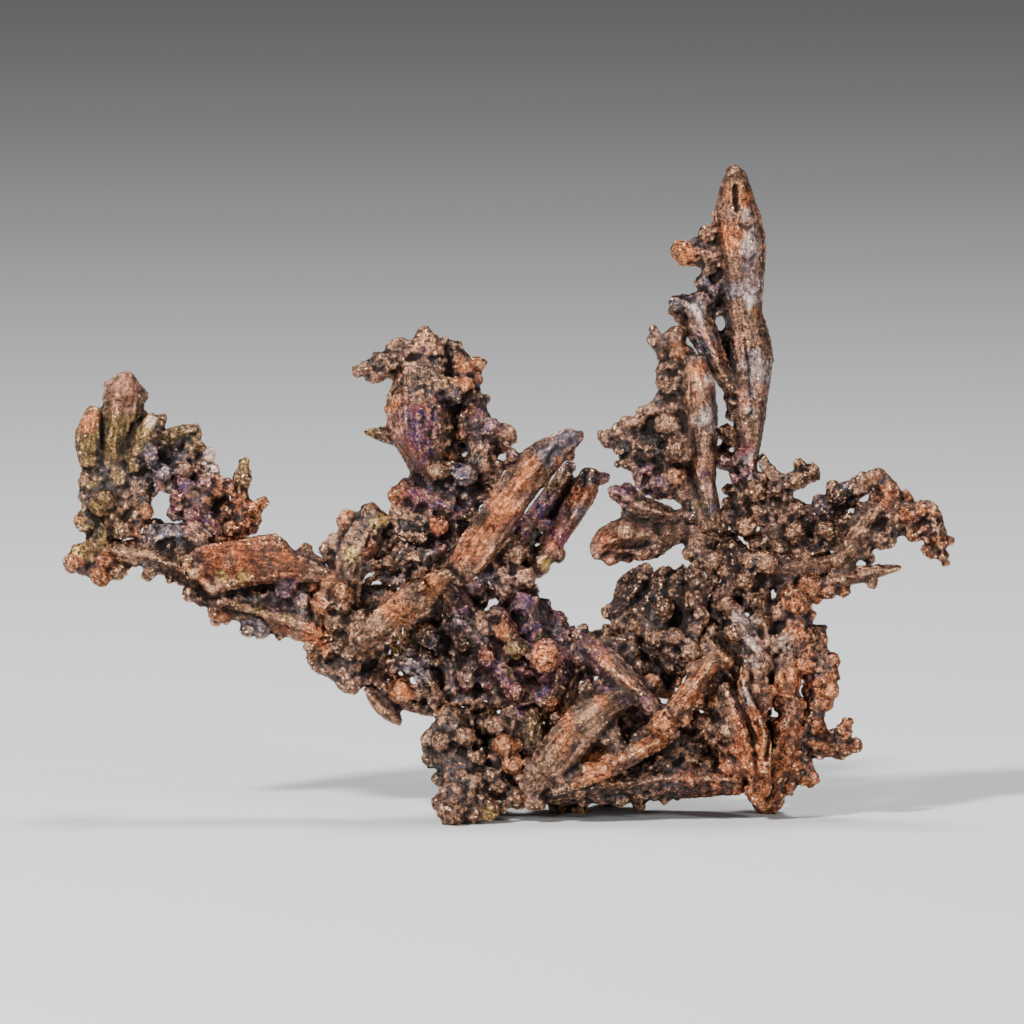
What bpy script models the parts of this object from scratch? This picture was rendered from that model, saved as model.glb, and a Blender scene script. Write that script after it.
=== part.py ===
"""A branching specimen of native copper, standing on its broad crusted foot.

The specimen is one intergrown piece of metal. It is split here at its main forks, so each branch
is its own solid. Every branch is built the way it grew: tapered limbs and flat blades of copper,
crowded with knobs, all joined in one body. Where two branches meet, a hairline gap parts them.

The layout is drawn on an upright drawing board. A place on it is given in board units: across from
the left, down from the top, and back from the board's face, so a negative back comes forward. The
board leans back a little, and the world's floor is where the feet of the specimen touch it.
"""

import math

import bmesh
import bpy
from mathutils import Matrix, Vector

# Driving dimensions, in metres and degrees.
BOARD_UNIT = 0.00017
BOARD_LEAN = math.radians(6.0)
FORK_GAP = 0.0004
WELD = 0.000001

# The board's own measures, in board units.
MIDDLE_ACROSS = 508.0
MIDDLE_BACK = 22.5
FLOOR_LINE = 817.5
GAP_UNITS = FORK_GAP / BOARD_UNIT

BIG_KNOB = 15.5
LIMB_SIDES_LEVEL = 1
LIMB_END_REACH = 0.5
FACETS_KEPT = (0.37, 0.385, 0.4, 0.43, 0.45, 0.48, 0.52, 0.56, 0.6, 0.7, 1.0)
SMOOTH_ANGLE = math.radians(35.0)


# ---------------------------------------------------------------- shapes, as words

def limb(*points, flat=1.0):
    """A tapered limb through points of (across, down, back, radius); flat thins it front to back."""
    return ("limb", points, flat)


def knob(across, down, back, radius):
    """A faceted lump of copper."""
    return ("knob", (across, down, back), radius)


def plate(outline, back, thickness):
    """A flat crystal plate with an outline of (across, down) corners."""
    return ("plate", outline, (back, thickness))


# ---------------------------------------------------------------- shapes, as meshes

def board_place(across, down, back):
    """The place on the upright board, in metres, before the board leans."""
    return Vector((
        (across - MIDDLE_ACROSS) * BOARD_UNIT,
        back * BOARD_UNIT,
        (FLOOR_LINE - down) * BOARD_UNIT,
    ))


def lean_matrix():
    """Turns the board's own directions into the world's: the board leans away from the front."""
    lean = Matrix.Rotation(-BOARD_LEAN, 4, "X")
    centre = Matrix.Translation((0.0, -MIDDLE_BACK * BOARD_UNIT, 0.0))
    return centre @ lean


def object_from_bmesh(name, bm, collection):
    """Triangulates a working mesh and links it as an object."""
    bmesh.ops.triangulate(bm, faces=bm.faces[:])
    mesh = bpy.data.meshes.new(name)
    bm.to_mesh(mesh)
    bm.free()
    obj = bpy.data.objects.new(name, mesh)
    collection.objects.link(obj)
    return obj


def mesh_from_object(obj):
    """The evaluated shape of an object, as a mesh of its own."""
    bpy.context.view_layer.update()
    depsgraph = bpy.context.evaluated_depsgraph_get()
    return bpy.data.meshes.new_from_object(obj.evaluated_get(depsgraph))


def grow_path(points, grow):
    """Fattens a limb's path and lengthens both ends, so that limbs drawn end to end overlap."""
    path = [(Vector(point[:3]), point[3] + grow) for point in points]
    first_run = (path[0][0] - path[1][0]).normalized()
    last_run = (path[-1][0] - path[-2][0]).normalized()
    path[0] = (path[0][0] + first_run * (grow + points[0][3] * LIMB_END_REACH), path[0][1])
    path[-1] = (path[-1][0] + last_run * (grow + points[-1][3] * LIMB_END_REACH), path[-1][1])
    return path


def make_limb(name, points, flat, grow, collection):
    """A bevelled curve with a radius at each point, thinned front to back for a blade."""
    path = grow_path(points, grow)
    mean_radius = sum(radius for place, radius in path) / len(path)
    depth = flat + (1.0 - flat) * grow / mean_radius if grow > 0.0 else flat
    curve = bpy.data.curves.new(name, "CURVE")
    curve.dimensions = "3D"
    curve.bevel_depth = BOARD_UNIT
    curve.bevel_resolution = LIMB_SIDES_LEVEL
    curve.use_fill_caps = True
    spline = curve.splines.new("POLY")
    spline.points.add(len(path) - 1)
    for spline_point, (place, radius) in zip(spline.points, path):
        spot = board_place(*place)
        spline_point.co = (spot.x, spot.y / depth, spot.z, 1.0)
        spline_point.radius = radius
    carrier = bpy.data.objects.new(name, curve)
    collection.objects.link(carrier)
    mesh = mesh_from_object(carrier)
    bpy.data.objects.remove(carrier)
    bm = bmesh.new()
    bm.from_mesh(mesh)
    bpy.data.meshes.remove(mesh)
    bmesh.ops.remove_doubles(bm, verts=bm.verts[:], dist=WELD)
    bmesh.ops.scale(bm, vec=(1.0, depth, 1.0), verts=bm.verts[:])
    return object_from_bmesh(name, bm, collection)


def make_knob(name, centre, radius, grow, collection):
    """An icosphere turned by its own place on the board, so that no two knobs match."""
    across, down, back = centre
    turn = Matrix.Rotation(across, 4, "X") @ Matrix.Rotation(down, 4, "Z") @ Matrix.Rotation(back, 4, "Y")
    bm = bmesh.new()
    bmesh.ops.create_icosphere(
        bm,
        subdivisions=2 if radius > BIG_KNOB else 1,
        radius=(radius + grow) * BOARD_UNIT,
        matrix=Matrix.Translation(board_place(*centre)) @ turn,
    )
    return object_from_bmesh(name, bm, collection)


def make_plate(name, outline, placing, grow, collection):
    """A filled outline, extruded to its thickness."""
    back, thickness = placing
    curve = bpy.data.curves.new(name, "CURVE")
    curve.dimensions = "2D"
    curve.fill_mode = "BOTH"
    curve.extrude = (thickness / 2.0 + grow) * BOARD_UNIT
    curve.offset = grow * BOARD_UNIT
    spline = curve.splines.new("POLY")
    spline.points.add(len(outline) - 1)
    for spline_point, (across, down) in zip(spline.points, outline):
        spot = board_place(across, down, 0.0)
        spline_point.co = (spot.x, spot.z, 0.0, 1.0)
    spline.use_cyclic_u = True
    carrier = bpy.data.objects.new(name, curve)
    collection.objects.link(carrier)
    mesh = mesh_from_object(carrier)
    bpy.data.objects.remove(carrier)
    stand = Matrix.Translation((0.0, back * BOARD_UNIT, 0.0)) @ Matrix.Rotation(math.radians(90.0), 4, "X")
    bm = bmesh.new()
    bm.from_mesh(mesh)
    bpy.data.meshes.remove(mesh)
    bmesh.ops.remove_doubles(bm, verts=bm.verts[:], dist=WELD)
    bmesh.ops.transform(bm, matrix=stand, verts=bm.verts[:])
    bmesh.ops.recalc_face_normals(bm, faces=bm.faces[:])
    return object_from_bmesh(name, bm, collection)


def make_shapes(name, shapes, grow, collection):
    """Makes every shape of a branch, grown by some board units."""
    makers = {"limb": make_limb, "knob": make_knob, "plate": make_plate}
    made = []
    for number, (kind, form, size) in enumerate(shapes):
        made.append(makers[kind](f"{name}_{kind}_{number}", form, size, grow, collection))
    return made


# ---------------------------------------------------------------- joining and cutting

def new_group(name):
    """A collection that stands in the scene."""
    group = bpy.data.collections.new(name)
    bpy.context.scene.collection.children.link(group)
    return group


def clear_group(group):
    """Removes a working collection and all that is in it."""
    for obj in list(group.objects):
        mesh = obj.data
        bpy.data.objects.remove(obj)
        bpy.data.meshes.remove(mesh)
    bpy.data.collections.remove(group)


def boolean(obj, operation, group):
    """Joins a collection's shapes to an object, or cuts them from it, and keeps the result."""
    modifier = obj.modifiers.new(operation.lower(), "BOOLEAN")
    modifier.operation = operation
    modifier.operand_type = "COLLECTION"
    modifier.collection = group
    modifier.solver = "EXACT"
    result = mesh_from_object(obj)
    obj.modifiers.clear()
    old_mesh = obj.data
    obj.data = result
    bpy.data.meshes.remove(old_mesh)


def islands(bm):
    """The separate bodies of a working mesh, as lists of vertices."""
    found = []
    seen = set()
    for start in bm.verts:
        if start in seen:
            continue
        seen.add(start)
        body = [start]
        for vert in body:
            for edge in vert.link_edges:
                other = edge.other_vert(vert)
                if other not in seen:
                    seen.add(other)
                    body.append(other)
        found.append(body)
    return found


def reach(body):
    """The length of the diagonal of a body's box."""
    low = Vector([min(vert.co[axis] for vert in body) for axis in range(3)])
    high = Vector([max(vert.co[axis] for vert in body) for axis in range(3)])
    return (high - low).length


def keep_main_body(obj):
    """Fills pockets sealed inside the metal and drops chips that a cut set free."""
    bm = bmesh.new()
    bm.from_mesh(obj.data)
    bmesh.ops.dissolve_degenerate(bm, dist=WELD, edges=bm.edges[:])
    bodies = sorted(islands(bm), key=reach)
    for body in bodies[:-1]:
        bmesh.ops.delete(bm, geom=body, context="VERTS")
    bm.to_mesh(obj.data)
    bm.free()


def thin_facets(obj, kept):
    """Melts the slivers that the join leaves into their neighbours, down to a share of the facets."""
    modifier = obj.modifiers.new("thin", "DECIMATE")
    modifier.ratio = kept
    modifier.use_collapse_triangulate = True
    result = mesh_from_object(obj)
    obj.modifiers.clear()
    old_mesh = obj.data
    obj.data = result
    bpy.data.meshes.remove(old_mesh)


def is_closed(obj):
    """Whether every edge of an object joins exactly two faces."""
    bm = bmesh.new()
    bm.from_mesh(obj.data)
    closed = all(edge.is_manifold for edge in bm.edges) and all(vert.is_manifold for vert in bm.verts)
    bm.free()
    return closed


def boxes_meet(one, other):
    """Whether the boxes of two objects touch or overlap."""
    spans = []
    for obj in (one, other):
        corners = [vert.co for vert in obj.data.vertices]
        spans.append([(min(c[axis] for c in corners), max(c[axis] for c in corners)) for axis in range(3)])
    return all(a[0] <= b[1] and b[0] <= a[1] for a, b in zip(*spans))


# ---------------------------------------------------------------- the branches

def base_crust():
    """The broad foot: a thick crust, two raised blades and the rope of knobs between them."""
    return [
        limb((512, 791, 4, 12), (560, 789, 8, 18), (620, 781, 10, 22), (680, 777, 10, 21),
             (738, 779, 10, 16), flat=2.7),
        limb((528, 786, -42, 12), (550, 763, -48, 21), (574, 734, -46, 25), (600, 707, -40, 20),
             (624, 695, -34, 13), flat=0.6),
        limb((556, 790, -52, 9), (600, 769, -54, 12), (640, 749, -46, 10), (672, 732, -34, 9)),
        limb((586, 645, -18, 14), (606, 661, -26, 18), (630, 685, -32, 14), (652, 706, -36, 10)),
        limb((604, 640, -20, 10), (622, 656, -24, 9), (636, 674, -26, 6)),
        limb((568, 690, 10, 14), (562, 720, 10, 19), (556, 752, 8, 21)),
        limb((713, 657, -38, 10), (684, 697, -42, 11), (658, 728, -44, 13)),
        limb((578, 700, 0, 6), (571, 682, 2, 6), (588, 665, 0, 7), (603, 672, -10, 7)),
        limb((590, 755, 10, 24), (640, 740, 8, 30), (700, 746, 10, 22), flat=1.5),
        limb((626, 712, 6, 16), (634, 740, 4, 24), flat=1.5),
        limb((605, 712, -30, 8), (612, 738, -44, 9), (620, 752, -44, 8)),
        knob(652, 684, -22, 11),
        knob(663, 720, -52, 12),
        knob(534, 800, -40, 12),
        knob(563, 801, 48, 16),
        limb((604, 760, 46, 24), (610, 780, 78, 18), (608, 795, 98, 15)),
        knob(590, 786, 76, 15),
        knob(629, 779, 78, 15),
        knob(660, 748, 56, 19),
        knob(704, 762, 46, 17),
        knob(548, 776, 54, 18),
        knob(626, 708, 40, 17),
    ]


def lower_left_block():
    """The knobby block under the middle, with the forward foot and the rear foot."""
    return [
        limb((452, 714, 0, 14), (452, 745, 2, 22), (462, 778, -4, 21), flat=1.6),
        limb((513, 722, 4, 14), (506, 758, 4, 22), (494, 788, -12, 17), flat=1.6),
        limb((460, 772, -20, 20), (456, 794, -38, 17), (453, 808, -50, 14)),
        knob(453, 812, -55, 15),
        knob(441, 801, -44, 11),
        knob(470, 800, -48, 12),
        limb((529, 712, -14, 11), (535, 735, -16, 12), (529, 757, -14, 9)),
        limb((468, 764, 18, 20), (478, 786, 58, 17), (483, 799, 80, 13)),
        knob(460, 788, 54, 14),
        knob(497, 785, 58, 14),
        knob(445, 718, -16, 11),
        knob(431, 738, -2, 12),
        knob(442, 743, -26, 11),
        knob(428, 758, -2, 8),
        knob(443, 764, -14, 10),
        knob(465, 737, -30, 12),
        knob(497, 726, -16, 13),
        knob(477, 757, -32, 11),
        knob(505, 745, -34, 13),
        knob(513, 764, -38, 12),
        knob(472, 781, -36, 12),
        knob(490, 774, -30, 10),
        knob(476, 811, -50, 11),
        knob(489, 807, -44, 13),
        knob(516, 796, -28, 13),
        knob(458, 738, 40, 17),
        knob(483, 722, 16, 17),
        knob(500, 755, 46, 19),
        knob(522, 735, 28, 15),
    ]


def centre_mass():
    """The dark crowded middle, where the left arm and the upper branches start."""
    return [
        limb((440, 584, 8, 17), (458, 618, 8, 24), (488, 650, 8, 29), (512, 684, 8, 26), flat=1.5),
        limb((522, 598, 0, 15), (534, 628, 2, 20), (528, 664, 2, 22), flat=1.5),
        limb((540, 622, 0, 13), (562, 642, -2, 12), (564, 668, -4, 12), (549, 698, -10, 12),
             (520, 704, -6, 13)),
        limb((445, 592, 0, 12), (420, 620, 4, 14), (405, 640, 4, 12)),
        limb((390, 660, -18, 8), (415, 664, -24, 10), (431, 684, -18, 10), (440, 706, -8, 10)),
        limb((368, 689, 0, 6), (384, 707, -2, 12), (399, 722, 0, 5)),
        limb((398, 700, 0, 9), (430, 709, 0, 9), (494, 694, 0, 13)),
        limb((462, 640, 0, 14), (455, 672, 2, 14), (457, 696, 4, 12)),
        limb((431, 668, 12, 8), (440, 688, 12, 12)),
        knob(474, 592, 14, 15),
        knob(402, 691, -14, 15),
        knob(545, 657, -34, 17),
        knob(513, 648, -32, 13),
        knob(504, 630, -26, 14),
        knob(482, 622, -22, 14),
        knob(463, 641, -24, 12),
        knob(426, 634, -10, 13),
        knob(487, 660, -34, 11),
        knob(555, 618, 4, 11),
        knob(515, 692, -32, 12),
        knob(468, 675, -16, 13),
        knob(412, 642, 16, 14),
        knob(450, 612, 42, 17),
        knob(492, 640, 54, 20),
        knob(540, 640, 38, 18),
        knob(520, 685, 44, 17),
        knob(468, 662, 42, 17),
    ]


def right_trunk():
    """The fan of blades that carries the spire and the right-hand branches."""
    return [
        limb((708, 640, 12, 17), (730, 680, 14, 24), (748, 725, 14, 24), (762, 776, 16, 18), flat=1.9),
        limb((724, 688, -32, 11), (738, 735, -36, 17), (756, 788, -24, 12), flat=0.6),
        limb((744, 664, -38, 5), (741, 690, -44, 7), (756, 716, -46, 7), (765, 748, -42, 7),
             (762, 790, -26, 8)),
        limb((753, 662, -26, 9), (757, 690, -30, 15), (762, 714, -28, 9), flat=0.6),
        limb((786, 652, -14, 10), (786, 678, -16, 16), (782, 706, -14, 10)),
        limb((795, 700, -12, 11), (782, 745, -20, 15), (766, 794, -8, 13), flat=0.7),
        limb((764, 768, 22, 16), (769, 800, 40, 18)),
        limb((706, 672, 16, 15), (699, 702, 20, 14)),
        knob(773, 727, 20, 12),
        limb((726, 602, -10, 9), (748, 640, -16, 11), (766, 662, -22, 9)),
        limb((760, 594, 0, 11), (766, 645, -6, 13), (772, 680, -6, 12)),
        limb((737, 552, 8, 13), (742, 582, 4, 17), (722, 600, 8, 15), (708, 640, 10, 14)),
        limb((765, 572, 0, 11), (800, 568, 0, 12), (834, 563, 0, 11)),
        limb((790, 590, 4, 15), (797, 634, -4, 17), (790, 660, -8, 12)),
        knob(748, 577, 4, 18),
        knob(727, 541, 14, 13),
        limb((740, 752, -8, 12), (714, 737, -22, 12), (702, 720, -26, 12)),
        knob(728, 766, -26, 12),
        knob(733, 633, -16, 12),
        knob(722, 660, -24, 13),
        knob(796, 603, -8, 16),
        knob(726, 650, 42, 18),
        knob(754, 692, 44, 18),
        knob(728, 705, 52, 18),
        knob(752, 745, 56, 17),
        knob(780, 612, 18, 16),
    ]


def shoulder_cluster():
    """The dark leaves and round knobs on the left shoulder of the trunk."""
    return [
        limb((648, 568, 30, 8), (634, 588, 30, 21), (622, 611, 28, 12), flat=0.7),
        limb((663, 573, 22, 9), (656, 604, 20, 12)),
        limb((640, 612, 22, 16), (660, 640, 20, 22), (684, 664, 18, 20), flat=1.6),
        limb((684, 640, 8, 14), (700, 606, 2, 12), (694, 575, 0, 9)),
        limb((662, 652, 26, 20), (656, 686, 26, 21)),
        limb((676, 592, 14, 10), (682, 618, 12, 12)),
        knob(637, 628, 0, 12),
        knob(655, 641, -4, 12),
        knob(662, 611, 0, 14),
        knob(692, 600, -8, 12),
        knob(678, 581, 16, 9),
        knob(700, 616, -14, 11),
        knob(674, 638, -12, 12),
        knob(696, 632, -8, 12),
        knob(690, 652, -16, 12),
        knob(622, 626, 20, 12),
        knob(650, 612, 46, 17),
        knob(676, 646, 48, 17),
    ]


def granular_edge():
    """The crumbly right-hand edge, with its short twig, finger and hanging knobs."""
    return [
        limb((812, 640, 2, 11), (824, 676, 2, 16), (814, 710, 2, 13), (800, 735, 0, 10)),
        limb((803, 738, 0, 9), (842, 752, 0, 9)),
        limb((840, 746, -4, 8), (847, 721, -8, 6)),
        limb((800, 735, 0, 10), (792, 768, 0, 11), (786, 789, 10, 9)),
        limb((806, 765, 0, 8), (813, 780, 0, 7)),
        knob(806, 664, -10, 12),
        knob(818, 640, 4, 11),
        knob(831, 662, 0, 10),
        knob(829, 690, -4, 12),
        knob(818, 727, -4, 10),
        knob(817, 680, 18, 15),
        knob(808, 714, 14, 13),
    ]


def leaf_branch():
    """The short branch to the left of the spire's foot, ending in a broad pointed leaf."""
    return [
        limb((590, 552, 0, 3), (604, 541, 0, 15), (627, 535, 0, 22), (650, 536, 4, 16), (680, 531, 8, 12),
             (712, 531, 10, 12), flat=0.6),
        limb((616, 492, -6, 8), (640, 507, -2, 11), (672, 517, 6, 9)),
        limb((668, 541, 6, 8), (655, 548, 2, 11), (640, 552, 0, 9)),
        limb((700, 535, 8, 10), (696, 549, 6, 10), (713, 563, 6, 13)),
        knob(625, 531, -12, 12),
        knob(690, 553, 4, 9),
        knob(676, 527, 16, 12),
    ]


def spire():
    """The tall blade, with a side nub and a bone-shaped finger on its left edge."""
    return [
        limb((735, 173, -6, 8), (735, 184, -6, 15), (735, 200, -5, 20), (737, 216, -4, 23),
             (742, 242, -3, 26),
             (742, 290, 0, 22), (742, 315, 2, 20), (750, 344, 3, 23), (751, 366, 4, 23), (751, 400, 6, 18),
             (747, 448, 8, 13), (746, 475, 10, 11), (738, 525, 12, 10), flat=0.8),
        limb((722, 252, 0, 13), (700, 253, 0, 11), (682, 256, 0, 12)),
        limb((682, 305, -6, 10), (696, 308, -6, 14), (701, 330, -6, 17), (716, 360, -2, 13),
             (732, 392, 2, 8)),
        limb((724, 280, 0, 10), (713, 296, 2, 10), (700, 306, -2, 10)),
        knob(710, 269, 4, 11),
        knob(677, 303, -6, 9),
        knob(728, 434, -2, 11),
        knob(727, 461, 0, 12),
        knob(754, 491, 2, 11),
        knob(728, 516, 4, 11),
        knob(746, 526, 0, 13),
        knob(738, 232, 18, 14),
        knob(744, 310, 20, 14),
        knob(748, 380, 24, 14),
        knob(744, 450, 24, 12),
    ]


def spire_side():
    """The fat side limb beside the spire and the knobs that hang off it to the left."""
    return [
        limb((694, 362, -12, 10), (698, 382, -14, 16), (700, 420, -12, 18), (702, 458, -8, 14),
             (706, 492, -4, 10), (714, 524, 2, 9), flat=0.9),
        limb((656, 343, 0, 8), (676, 344, 0, 13), (680, 362, -2, 12), (694, 372, -6, 12)),
        limb((690, 400, 0, 13), (671, 412, 2, 17), (660, 440, 6, 15), (645, 447, 8, 16), (622, 436, 8, 11)),
        limb((684, 464, 0, 7), (690, 495, -2, 6), (706, 526, -2, 7)),
        limb((660, 455, 4, 12), (676, 478, 0, 12), (684, 498, 0, 9)),
        limb((632, 452, 8, 8), (638, 475, 8, 6), (645, 493, 6, 6)),
        knob(666, 358, 4, 11),
        knob(675, 385, -6, 12),
        knob(653, 410, 0, 9),
        knob(668, 430, -12, 13),
        knob(646, 424, 8, 9),
        knob(610, 441, 10, 9),
        knob(626, 460, 10, 9),
        knob(655, 486, 2, 10),
        knob(640, 490, 6, 8),
        knob(672, 452, -12, 11),
        knob(694, 420, 8, 16),
        knob(664, 430, 16, 15),
    ]


def right_branch():
    """The slanted limb that reaches right, ends in knuckled fingers and droops at its tip."""
    return [
        limb((836, 566, 0, 12), (850, 548, -4, 16), (866, 522, -9, 17), (884, 503, -14, 13)),
        limb((876, 474, -14, 9), (890, 492, -17, 11), (892, 510, -17, 12)),
        limb((882, 512, -13, 12), (908, 518, -20, 15), (929, 508, -24, 11), (936, 535, -25, 10),
             (941, 558, -24, 5)),
        limb((832, 580, -4, 10), (866, 574, -11, 10), (898, 568, -18, 5)),
        knob(875, 478, -16, 10),
        knob(880, 540, -13, 11),
        knob(912, 533, -21, 10),
        knob(926, 549, -23, 8),
        knob(813, 588, 2, 10),
        knob(828, 590, -2, 10),
        knob(865, 551, -10, 9),
        knob(864, 530, 18, 13),
        knob(900, 514, 1, 11),
    ]


def short_fingers():
    """The short finger and the dark knobs between the spire and the slanted limb."""
    return [
        limb((762, 497, 8, 9), (786, 485, 4, 10), (813, 472, 0, 10)),
        limb((759, 456, 10, 6), (769, 470, 8, 7), (778, 484, 6, 8)),
        limb((752, 545, 8, 12), (776, 538, 8, 12), (800, 530, 6, 14), (822, 510, 4, 13), (849, 489, 2, 10)),
        limb((772, 512, 6, 9), (796, 510, 4, 12), (806, 526, 6, 12)),
        limb((768, 498, 6, 8), (772, 516, 6, 9), (774, 536, 6, 9)),
        limb((800, 535, 4, 12), (806, 552, 2, 10), (836, 557, 0, 9)),
        knob(825, 531, -4, 11),
        knob(838, 500, -4, 10),
        knob(794, 534, -10, 12),
        knob(856, 485, 0, 6),
        knob(782, 548, 2, 10),
        knob(800, 524, 28, 14),
    ]


def blade_branch():
    """The bright diagonal blade, the lens-shaped blade below it and the fingers behind."""
    return [
        limb((458, 574, -30, 14), (472, 555, -32, 21), (504, 510, -36, 20), (520, 483, -36, 22),
             (540, 459, -34, 19), (571, 438, -30, 10), flat=0.6),
        limb((452, 571, -36, 6), (421, 592, -40, 17), (395, 613, -40, 18), (365, 638, -36, 13),
             (345, 657, -30, 6), flat=0.5),
        limb((589, 474, 4, 11), (585, 492, 4, 14), (570, 516, 2, 13), (555, 541, 0, 11),
             (536, 570, -4, 11)),
        limb((566, 476, 12, 9), (545, 504, 12, 11), (522, 538, 6, 12), (505, 562, -4, 13)),
        limb((490, 560, -14, 14), (505, 580, -14, 15), (522, 582, -12, 13)),
        knob(513, 556, -20, 12),
        knob(503, 592, -16, 11),
        knob(526, 577, -20, 12),
        knob(541, 562, -8, 9),
        knob(578, 436, -30, 7),
        knob(548, 504, 22, 13),
        knob(524, 538, 18, 14),
        knob(506, 566, 10, 15),
    ]


def head_branch():
    """The rounded head on its stem, crowned with a small pyramid and ringed with knobs."""
    return [
        limb((422, 378, 0, 24), (419, 402, -2, 35), (422, 432, -2, 34), (430, 466, 2, 20),
             (436, 490, 4, 14)),
        limb((425, 330, 0, 6), (427, 342, 0, 16), (429, 360, 0, 20), (430, 380, 0, 18)),
        limb((372, 368, 4, 11), (392, 361, 2, 12), (412, 352, 0, 12)),
        limb((455, 350, 4, 9), (462, 368, 4, 13), (466, 392, 4, 14), (478, 428, 4, 16), (484, 462, 2, 15),
             (466, 494, 2, 14)),
        limb((361, 431, 10, 3), (380, 433, 10, 9), (398, 438, 8, 11)),
        limb((404, 487, 0, 10), (422, 498, -2, 12), (448, 508, 0, 15), (456, 530, 4, 17),
             (452, 560, 8, 18)),
        limb((499, 464, -4, 8), (492, 480, -4, 8), (486, 500, -2, 9)),
        limb((450, 545, 4, 14), (426, 556, 2, 14), (406, 552, 0, 12)),
        limb((374, 577, -4, 5), (388, 571, -4, 8), (404, 563, -4, 10)),
        plate(((386, 504), (404, 504), (424, 522), (434, 534), (394, 528)), -8, 11),
        knob(456, 388, -16, 12),
        knob(412, 372, -16, 12),
        knob(438, 384, -20, 12),
        knob(490, 430, -6, 12),
        knob(465, 476, -14, 13),
        knob(438, 470, -18, 13),
        knob(440, 526, -14, 12),
        knob(470, 515, -6, 13),
        knob(416, 574, 6, 12),
        knob(374, 376, 8, 10),
        knob(424, 420, 28, 18),
        knob(474, 440, 18, 15),
        knob(446, 508, 14, 15),
    ]


def arm_root():
    """The thick yellowed lump where the left arm starts, with a hook under it."""
    return [
        limb((378, 516, 0, 12), (364, 536, -2, 19), (352, 560, -2, 19), (344, 592, -2, 17),
             (346, 626, 0, 18), (356, 650, 0, 14)),
        limb((310, 657, -2, 7), (320, 668, -2, 8), (338, 672, -2, 9), (356, 668, -2, 11)),
        limb((330, 652, -2, 9), (348, 640, -2, 12)),
        limb((366, 552, 10, 14), (382, 546, 10, 14), (392, 536, 10, 11)),
        limb((348, 602, 12, 14), (370, 600, 14, 18), (390, 598, 14, 15)),
        limb((362, 650, 0, 12), (382, 646, 0, 10), (384, 668, 0, 8), (366, 682, 0, 9)),
        knob(345, 521, 4, 10),
        knob(335, 543, 2, 10),
        knob(368, 511, 6, 10),
        knob(331, 586, -8, 12),
        knob(322, 604, -12, 13),
        knob(345, 596, -20, 12),
        knob(333, 622, -12, 12),
        knob(358, 628, -16, 12),
        knob(352, 684, -2, 11),
        knob(384, 684, 0, 8),
        knob(354, 556, 14, 18),
        knob(346, 604, 16, 18),
        knob(352, 638, 14, 17),
    ]


def left_arm():
    """The long arm: a lower beam, and the broad red plate with its peak."""
    return [
        limb((104, 550, 16, 12), (150, 555, 13, 12), (182, 569, 9, 13), (216, 592, 4, 13),
             (252, 612, 2, 17), (296, 622, 2, 18), (332, 636, 4, 13)),
        plate(((186, 557), (200, 547), (248, 539), (277, 532), (298, 555), (332, 570), (318, 582),
               (262, 582),
               (236, 586), (213, 593)), -4, 22),
        limb((188, 560, -5, 6), (213, 588, -10, 8), (250, 578, -12, 8), (300, 574, -10, 7)),
        limb((272, 596, 6, 14), (300, 606, 6, 16), (322, 620, 6, 13)),
        limb((216, 590, 2, 8), (217, 615, 1, 9)),
        limb((140, 546, 18, 10), (160, 535, 18, 13), (180, 534, 14, 12), (198, 537, 1, 11),
             (204, 556, 1, 10)),
        knob(152, 570, 10, 9),
        knob(190, 594, -2, 9),
        knob(284, 592, -6, 11),
        knob(303, 603, -8, 11),
        knob(200, 574, 15, 15),
        knob(252, 596, 12, 17),
        knob(300, 604, 16, 16),
    ]


def left_bush():
    """The small bush of knobs that stands on the arm."""
    return [
        limb((226, 546, 11, 9), (212, 524, 15, 8), (196, 508, 17, 12), (184, 482, 17, 10)),
        limb((234, 547, 7, 9), (246, 518, 5, 10), (240, 496, 3, 8), (243, 477, 1, 8)),
        limb((200, 500, 15, 12), (208, 478, 15, 10)),
        limb((206, 500, 13, 9), (220, 484, 11, 9)),
        knob(178, 500, 13, 10),
        knob(176, 514, 17, 9),
        knob(192, 516, 9, 10),
        knob(204, 484, 7, 10),
        knob(255, 508, 1, 10),
        knob(232, 528, -1, 10),
        knob(243, 477, -1, 10),
        knob(204, 500, 35, 13),
        knob(236, 516, 15, 12),
    ]


def left_tip():
    """The cluster at the arm's end: a domed column, a leaf, a crystal and a wedge on a knobby stalk."""
    return [
        limb((112, 476, 22, 18), (117, 440, 20, 20), (123, 412, 18, 22), (124, 396, 17, 21),
             (124, 385, 16, 14)),
        limb((89, 462, 10, 11), (89, 434, 9, 15), (95, 412, 8, 8), flat=0.7),
        limb((134, 458, 6, 10), (146, 438, 2, 13), (156, 422, 2, 10)),
        limb((150, 452, 22, 8), (174, 437, 26, 12), (196, 431, 28, 8)),
        limb((150, 468, 20, 14), (172, 468, 24, 13), (194, 450, 26, 10)),
        limb((116, 478, 22, 22), (112, 512, 22, 22), (102, 545, 20, 18), (101, 572, 18, 13)),
        limb((134, 484, 18, 14), (142, 508, 16, 12), (130, 524, 16, 12)),
        knob(97, 484, 12, 12),
        knob(86, 520, 12, 12),
        knob(81, 560, 16, 11),
        knob(117, 572, 16, 10),
        knob(162, 474, 8, 12),
        knob(150, 456, 0, 9),
        knob(104, 500, -2, 12),
        knob(122, 530, 2, 11),
        knob(116, 450, 46, 15),
        knob(118, 500, 50, 16),
        knob(104, 546, 44, 14),
    ]


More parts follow.
